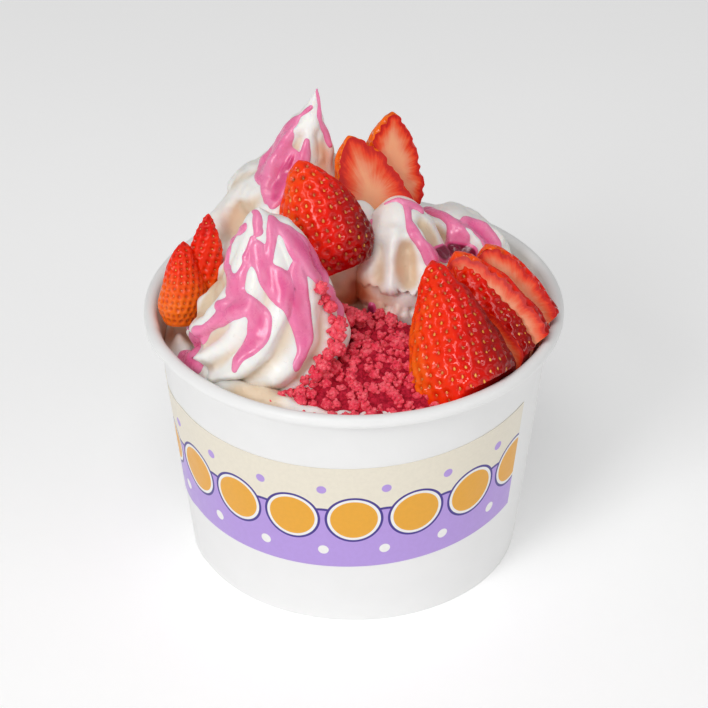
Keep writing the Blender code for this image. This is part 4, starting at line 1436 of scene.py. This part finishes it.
def heap_height(x, y):
    reach_x = (x - HEAP_CENTRE[0]) / HEAP_REACH[0]
    reach_y = (y - HEAP_CENTRE[1]) / HEAP_REACH[1]
    slope = HEAP_FRONT + (HEAP_BACK - HEAP_FRONT) * 0.5 * (1 + reach_y)
    return slope + HEAP_DOME * np.maximum(0, 1 - reach_x**2 - reach_y**2)


def crumble_core():
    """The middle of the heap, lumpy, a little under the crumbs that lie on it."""
    columns = 180
    shares = np.linspace(1.0, 0.01, 56)
    angle = TAU * np.arange(columns) / columns
    edge = 1 + 0.04 * np.sin(5 * angle) + 0.03 * np.sin(9 * angle + 1.0)
    rows = []
    for share in [1.0] + list(shares):
        x = HEAP_CENTRE[0] + share * edge * HEAP_REACH[0] * np.cos(angle)
        y = HEAP_CENTRE[1] + share * edge * HEAP_REACH[1] * np.sin(angle)
        top = heap_height(x, y) - CORE_DROP
        room = wall_radius(top) - WALL - CRUMB_WALL_GAP
        pull = np.minimum(1, room / np.hypot(x, y))
        rows.append(np.stack([x * pull, y * pull, top], -1))
    rows[0][:, 2] = HEAP_BOTTOM
    points = np.array(rows).reshape(-1, 3)
    lumps = 0.5 * wander(points, 4.0, 61) + 0.35 * wander(points, 2.0, 62)
    points[columns:, 2] += lumps[columns:]
    faces = grid_faces(len(rows), columns).tolist()
    last = (len(rows) - 1) * columns
    faces.append([last + k for k in range(columns)])
    faces.append(list(range(columns))[::-1])
    # The core shows between the crumbs as dark painted shade.
    obj = add_mesh("crumble_core", points, faces, CRUMBLE_SHADE)
    return place(obj, "crumble", "crumble_heap")


CRUMB_WALL_GAP = 1.9
LOOSE_CRUMBS = (
    (-8.5, -26.5, 94.9, 1.7), (-7.6, -25, 91.1, 1.2), (-6.3, -25.6, 88.7, 1.8),
    (-8.6, -26.6, 90.5, 0.7), (-5.8, -26.6, 85.6, 1.1), (-3.9, -27.1, 84, 2),
    (-5.4, -29, 83.1, 1.4), (-3.9, -29.4, 81.9, 1.7), (-6, -31.2, 81.2, 1.1),
    (-4.6, -32.5, 80.1, 2.1), (-6.7, -33.8, 79.1, 1.6), (-9.4, -34.4, 78.2, 0.9),
    (-8, -35.9, 77, 1.9), (-10.9, -36.3, 76, 1), (-9.8, -37.3, 74.7, 1.7),
    (-12.8, -37.9, 73.7, 1.1), (-11.7, -34.5, 69.3, 1.6), (-7.3, -32.5, 72.5, 1.5),
    (-2.4, -11.4, 79, 1.5), (-0.3, -13.4, 79, 1.7), (-3.7, -14.3, 78, 1.8), (-1.3, -17.3, 79, 1.9),
    (1.6, -16.6, 79.5, 1.6), (-4.3, -18.7, 78, 1.7), (-21.3, -43.8, 70.5, 1.2),
    (-19, -42.2, 71, 1.6), (-20, -44.4, 70, 1), (-14, -43.1, 71, 1.5),
)


def crumbs(core):
    """Clusters of crumb over the heap, grains stuck all over them, and loose bits: one piece."""
    mesh = core.data.copy()
    bm = bmesh.new()
    bm.from_mesh(mesh)
    low = [face for face in bm.faces if face.normal.z < 0.3]
    bmesh.ops.delete(bm, geom=low, context="FACES")
    loose = bm.verts.layers.float.new("loose")
    for x, y, z, radius in LOOSE_CRUMBS:
        made = bm.verts.new((x * MM, y * MM, z * MM))
        made[loose] = radius * MM
    bm.to_mesh(mesh)
    bm.free()
    obj = bpy.data.objects.new("crumbs", mesh)
    bpy.context.scene.collection.objects.link(obj)

    tree = Tree("crumbs on a heap", {
        "Lump Spacing": "NodeSocketFloat", "Least Lump": "NodeSocketFloat", "Most Lump": "NodeSocketFloat",
        "Grain Spacing": "NodeSocketFloat", "Least Grain": "NodeSocketFloat", "Most Grain": "NodeSocketFloat",
        "Seed": "NodeSocketInt", "Material": "NodeSocketMaterial",
    })
    given = tree.given
    normal = tree.add("GeometryNodeInputNormal").outputs[0]

    def random_scale(least, most, seed):
        """Random size, and a random squash along each axis."""
        size = tree.add(
            "FunctionNodeRandomValue", {2: least, 3: most, "Seed": seed}, data_type="FLOAT"
        ).outputs[1]
        squash = tree.add(
            "FunctionNodeRandomValue", {0: (0.75, 0.75, 0.75), 1: (1.2, 1.2, 1.2), "Seed": seed + 1},
            data_type="FLOAT_VECTOR",
        ).outputs[0]
        return tree.add("ShaderNodeVectorMath", {0: squash, "Scale": size}, operation="SCALE").outputs[0]

    def random_turn(seed):
        spin = tree.add(
            "FunctionNodeRandomValue", {0: (0, 0, 0), 1: (TAU, TAU, TAU), "Seed": seed},
            data_type="FLOAT_VECTOR",
        ).outputs[0]
        return tree.add("FunctionNodeEulerToRotation", {0: spin}).outputs[0]

    def roughened(geometry, size, amount):
        """Moves points along their normals by noise, so that no two crumbs are alike."""
        noise = tree.add("ShaderNodeTexNoise", {"Scale": 1 / (size * MM), "Detail": 2.0}).outputs["Fac"]
        push = tree.add(
            "ShaderNodeMapRange", {0: noise, 1: 0.3, 2: 0.7, 3: -amount * MM, 4: amount * MM}
        ).outputs[0]
        offset = tree.add("ShaderNodeVectorMath", {0: normal, "Scale": push}, operation="SCALE").outputs[0]
        return tree.add("GeometryNodeSetPosition", {"Geometry": geometry, "Offset": offset}).outputs[0]

    heap_points = tree.add("GeometryNodeDistributePointsOnFaces", {
        "Mesh": given("Geometry"), "Distance Min": given("Lump Spacing"), "Density Max": 400000.0,
        "Seed": given("Seed"),
    }, distribute_method="POISSON").outputs["Points"]
    lump = tree.add("GeometryNodeMeshIcoSphere", {"Radius": 1.0, "Subdivisions": 2}).outputs["Mesh"]
    lumps = tree.add("GeometryNodeInstanceOnPoints", {
        "Points": heap_points, "Instance": lump, "Rotation": random_turn(11),
        "Scale": random_scale(given("Least Lump"), given("Most Lump"), 12),
    }).outputs[0]
    size = tree.named("loose")
    is_loose = tree.add("FunctionNodeCompare", {0: size, 1: 0.0}, operation="GREATER_THAN").outputs[0]
    loose_points = tree.add(
        "GeometryNodeMeshToPoints", {"Mesh": given("Geometry"), "Selection": is_loose}
    ).outputs[0]
    loose_lumps = tree.add("GeometryNodeInstanceOnPoints", {
        "Points": loose_points, "Instance": lump, "Rotation": random_turn(14), "Scale": size,
    }).outputs[0]
    both = tree.add("GeometryNodeJoinGeometry")
    tree.group.links.new(loose_lumps, both.inputs[0])
    tree.group.links.new(lumps, both.inputs[0])
    real = tree.add("GeometryNodeRealizeInstances", {0: both.outputs[0]}).outputs[0]
    bodies = roughened(real, 1.7, 0.42)
    upward = tree.add("ShaderNodeSeparateXYZ", {0: normal}).outputs[2]
    seen = tree.add("FunctionNodeCompare", {0: upward, 1: -0.25}, operation="GREATER_THAN").outputs[0]
    grain_points = tree.add("GeometryNodeDistributePointsOnFaces", {
        "Mesh": bodies, "Selection": seen, "Distance Min": given("Grain Spacing"), "Density Max": 3000000.0,
        "Seed": given("Seed"),
    }, distribute_method="POISSON").outputs["Points"]
    grain_ball = tree.add("GeometryNodeMeshIcoSphere", {"Radius": 1.0, "Subdivisions": 1}).outputs["Mesh"]
    grains = tree.add("GeometryNodeInstanceOnPoints", {
        "Points": grain_points, "Instance": grain_ball, "Rotation": random_turn(17),
        "Scale": random_scale(given("Least Grain"), given("Most Grain"), 18),
    }).outputs[0]
    grains = tree.add("GeometryNodeRealizeInstances", {0: grains}).outputs[0]
    grains = roughened(grains, 0.9, 0.14)
    everything = tree.add("GeometryNodeJoinGeometry")
    tree.group.links.new(grains, everything.inputs[0])
    tree.group.links.new(bodies, everything.inputs[0])
    real = tree.add("GeometryNodeRealizeInstances", {0: everything.outputs[0]}).outputs[0]
    smooth = tree.add("GeometryNodeSetShadeSmooth", {0: real, 2: True}).outputs[0]
    painted = tree.add("GeometryNodeSetMaterial", {0: smooth, 2: given("Material")}).outputs[0]
    tree.finish(painted)
    tree.apply(obj, {
        "Lump Spacing": LUMP_SPACING * MM, "Least Lump": LUMP_RADIUS[0] * MM,
        "Most Lump": LUMP_RADIUS[1] * MM,
        "Grain Spacing": GRAIN_SPACING * MM, "Least Grain": GRAIN_RADIUS[0] * MM,
        "Most Grain": GRAIN_RADIUS[1] * MM, "Seed": 3, "Material": CRUMBLE,
    })
    return place(obj, "crumble")


# ---------------------------------------------------------------- everything
cup_shell()
cup_disc()
label_band()
yogurt_bed()
dollop("front_peak", FRONT_PEAK, 170, 360, "peak_front")
dollop("back_peak", BACK_PEAK, 190, 360, "peak_back")
dollop("right_peak", RIGHT_PEAK, 150, 300, "peak_right")
dollop("side_curl_yogurt", SIDE_CURL, 130, 300, "curl_side")
sauce()
berry_seeds([berry(name, spec) for name, spec in BERRIES.items()])
crumbs(crumble_core())


# ---------------------------------------------------------------- floor, light and camera
def floor():
    made, tree, shader = new_material("pale table")
    colour = blend_colours(tree, grain(tree, 60.0), (0.93, 0.93, 0.93, 1), (0.95, 0.95, 0.95, 1))
    link(tree, colour, shader.inputs["Base Color"])
    shader.inputs["Roughness"].default_value = 0.7
    shader.inputs["Emission Color"].default_value = (1, 1, 1, 1)
    shader.inputs["Emission Strength"].default_value = 0.2
    relief(tree, shader, [(grain(tree, 1.5), 0.02)])
    bm = bmesh.new()
    bmesh.ops.create_grid(bm, x_segments=8, y_segments=8, size=3.0)
    mesh = bpy.data.meshes.new("table_top")
    bm.to_mesh(mesh)
    bm.free()
    mesh.materials.append(made)
    obj = bpy.data.objects.new("table_top", mesh)
    bpy.context.scene.collection.objects.link(obj)


def area_light(name, place_at, aim, size, power, colour=(1, 1, 1)):
    light = bpy.data.lights.new(name, "AREA")
    light.shape = "RECTANGLE"
    light.size, light.size_y = size
    light.energy = power
    light.color = colour
    obj = bpy.data.objects.new(name, light)
    obj.location = place_at
    obj.rotation_euler = (Vector(aim) - Vector(place_at)).to_track_quat("-Z", "Y").to_euler()
    bpy.context.scene.collection.objects.link(obj)


CAMERA_AIM = (0.0, 0.0, 0.0569)
CAMERA_DISTANCE = 0.733
CAMERA_RISE = 33.69
CAMERA_LENS = 135.0

floor()
area_light("key", (-0.50, -0.72, 0.66), (0, 0, 0.07), (0.36, 0.36), 3.7)
area_light("fill", (0.75, -0.5, 0.45), (0, 0, 0.07), (0.6, 0.6), 1.3)
area_light("top", (-0.12, -0.42, 1.0), (0, 0, 0.07), (0.5, 0.5), 2.7)

world = bpy.data.worlds.new("studio")
bpy.context.scene.world = world
world.use_nodes = True
world.node_tree.nodes["Background"].inputs[0].default_value = (1, 1, 1, 1)
world.node_tree.nodes["Background"].inputs[1].default_value = 0.31
bpy.context.scene.view_settings.view_transform = "Standard"

camera = bpy.data.objects.new("camera", bpy.data.cameras.new("camera"))
camera.data.lens = CAMERA_LENS
camera.data.sensor_width = 36.0
camera.data.clip_start = 0.01
rise = math.radians(CAMERA_RISE)
aim = Vector(CAMERA_AIM)
camera.location = aim + CAMERA_DISTANCE * Vector((0, -math.cos(rise), math.sin(rise)))
camera.rotation_euler = (aim - camera.location).to_track_quat("-Z", "Y").to_euler()
bpy.context.scene.collection.objects.link(camera)
bpy.context.scene.camera = camera
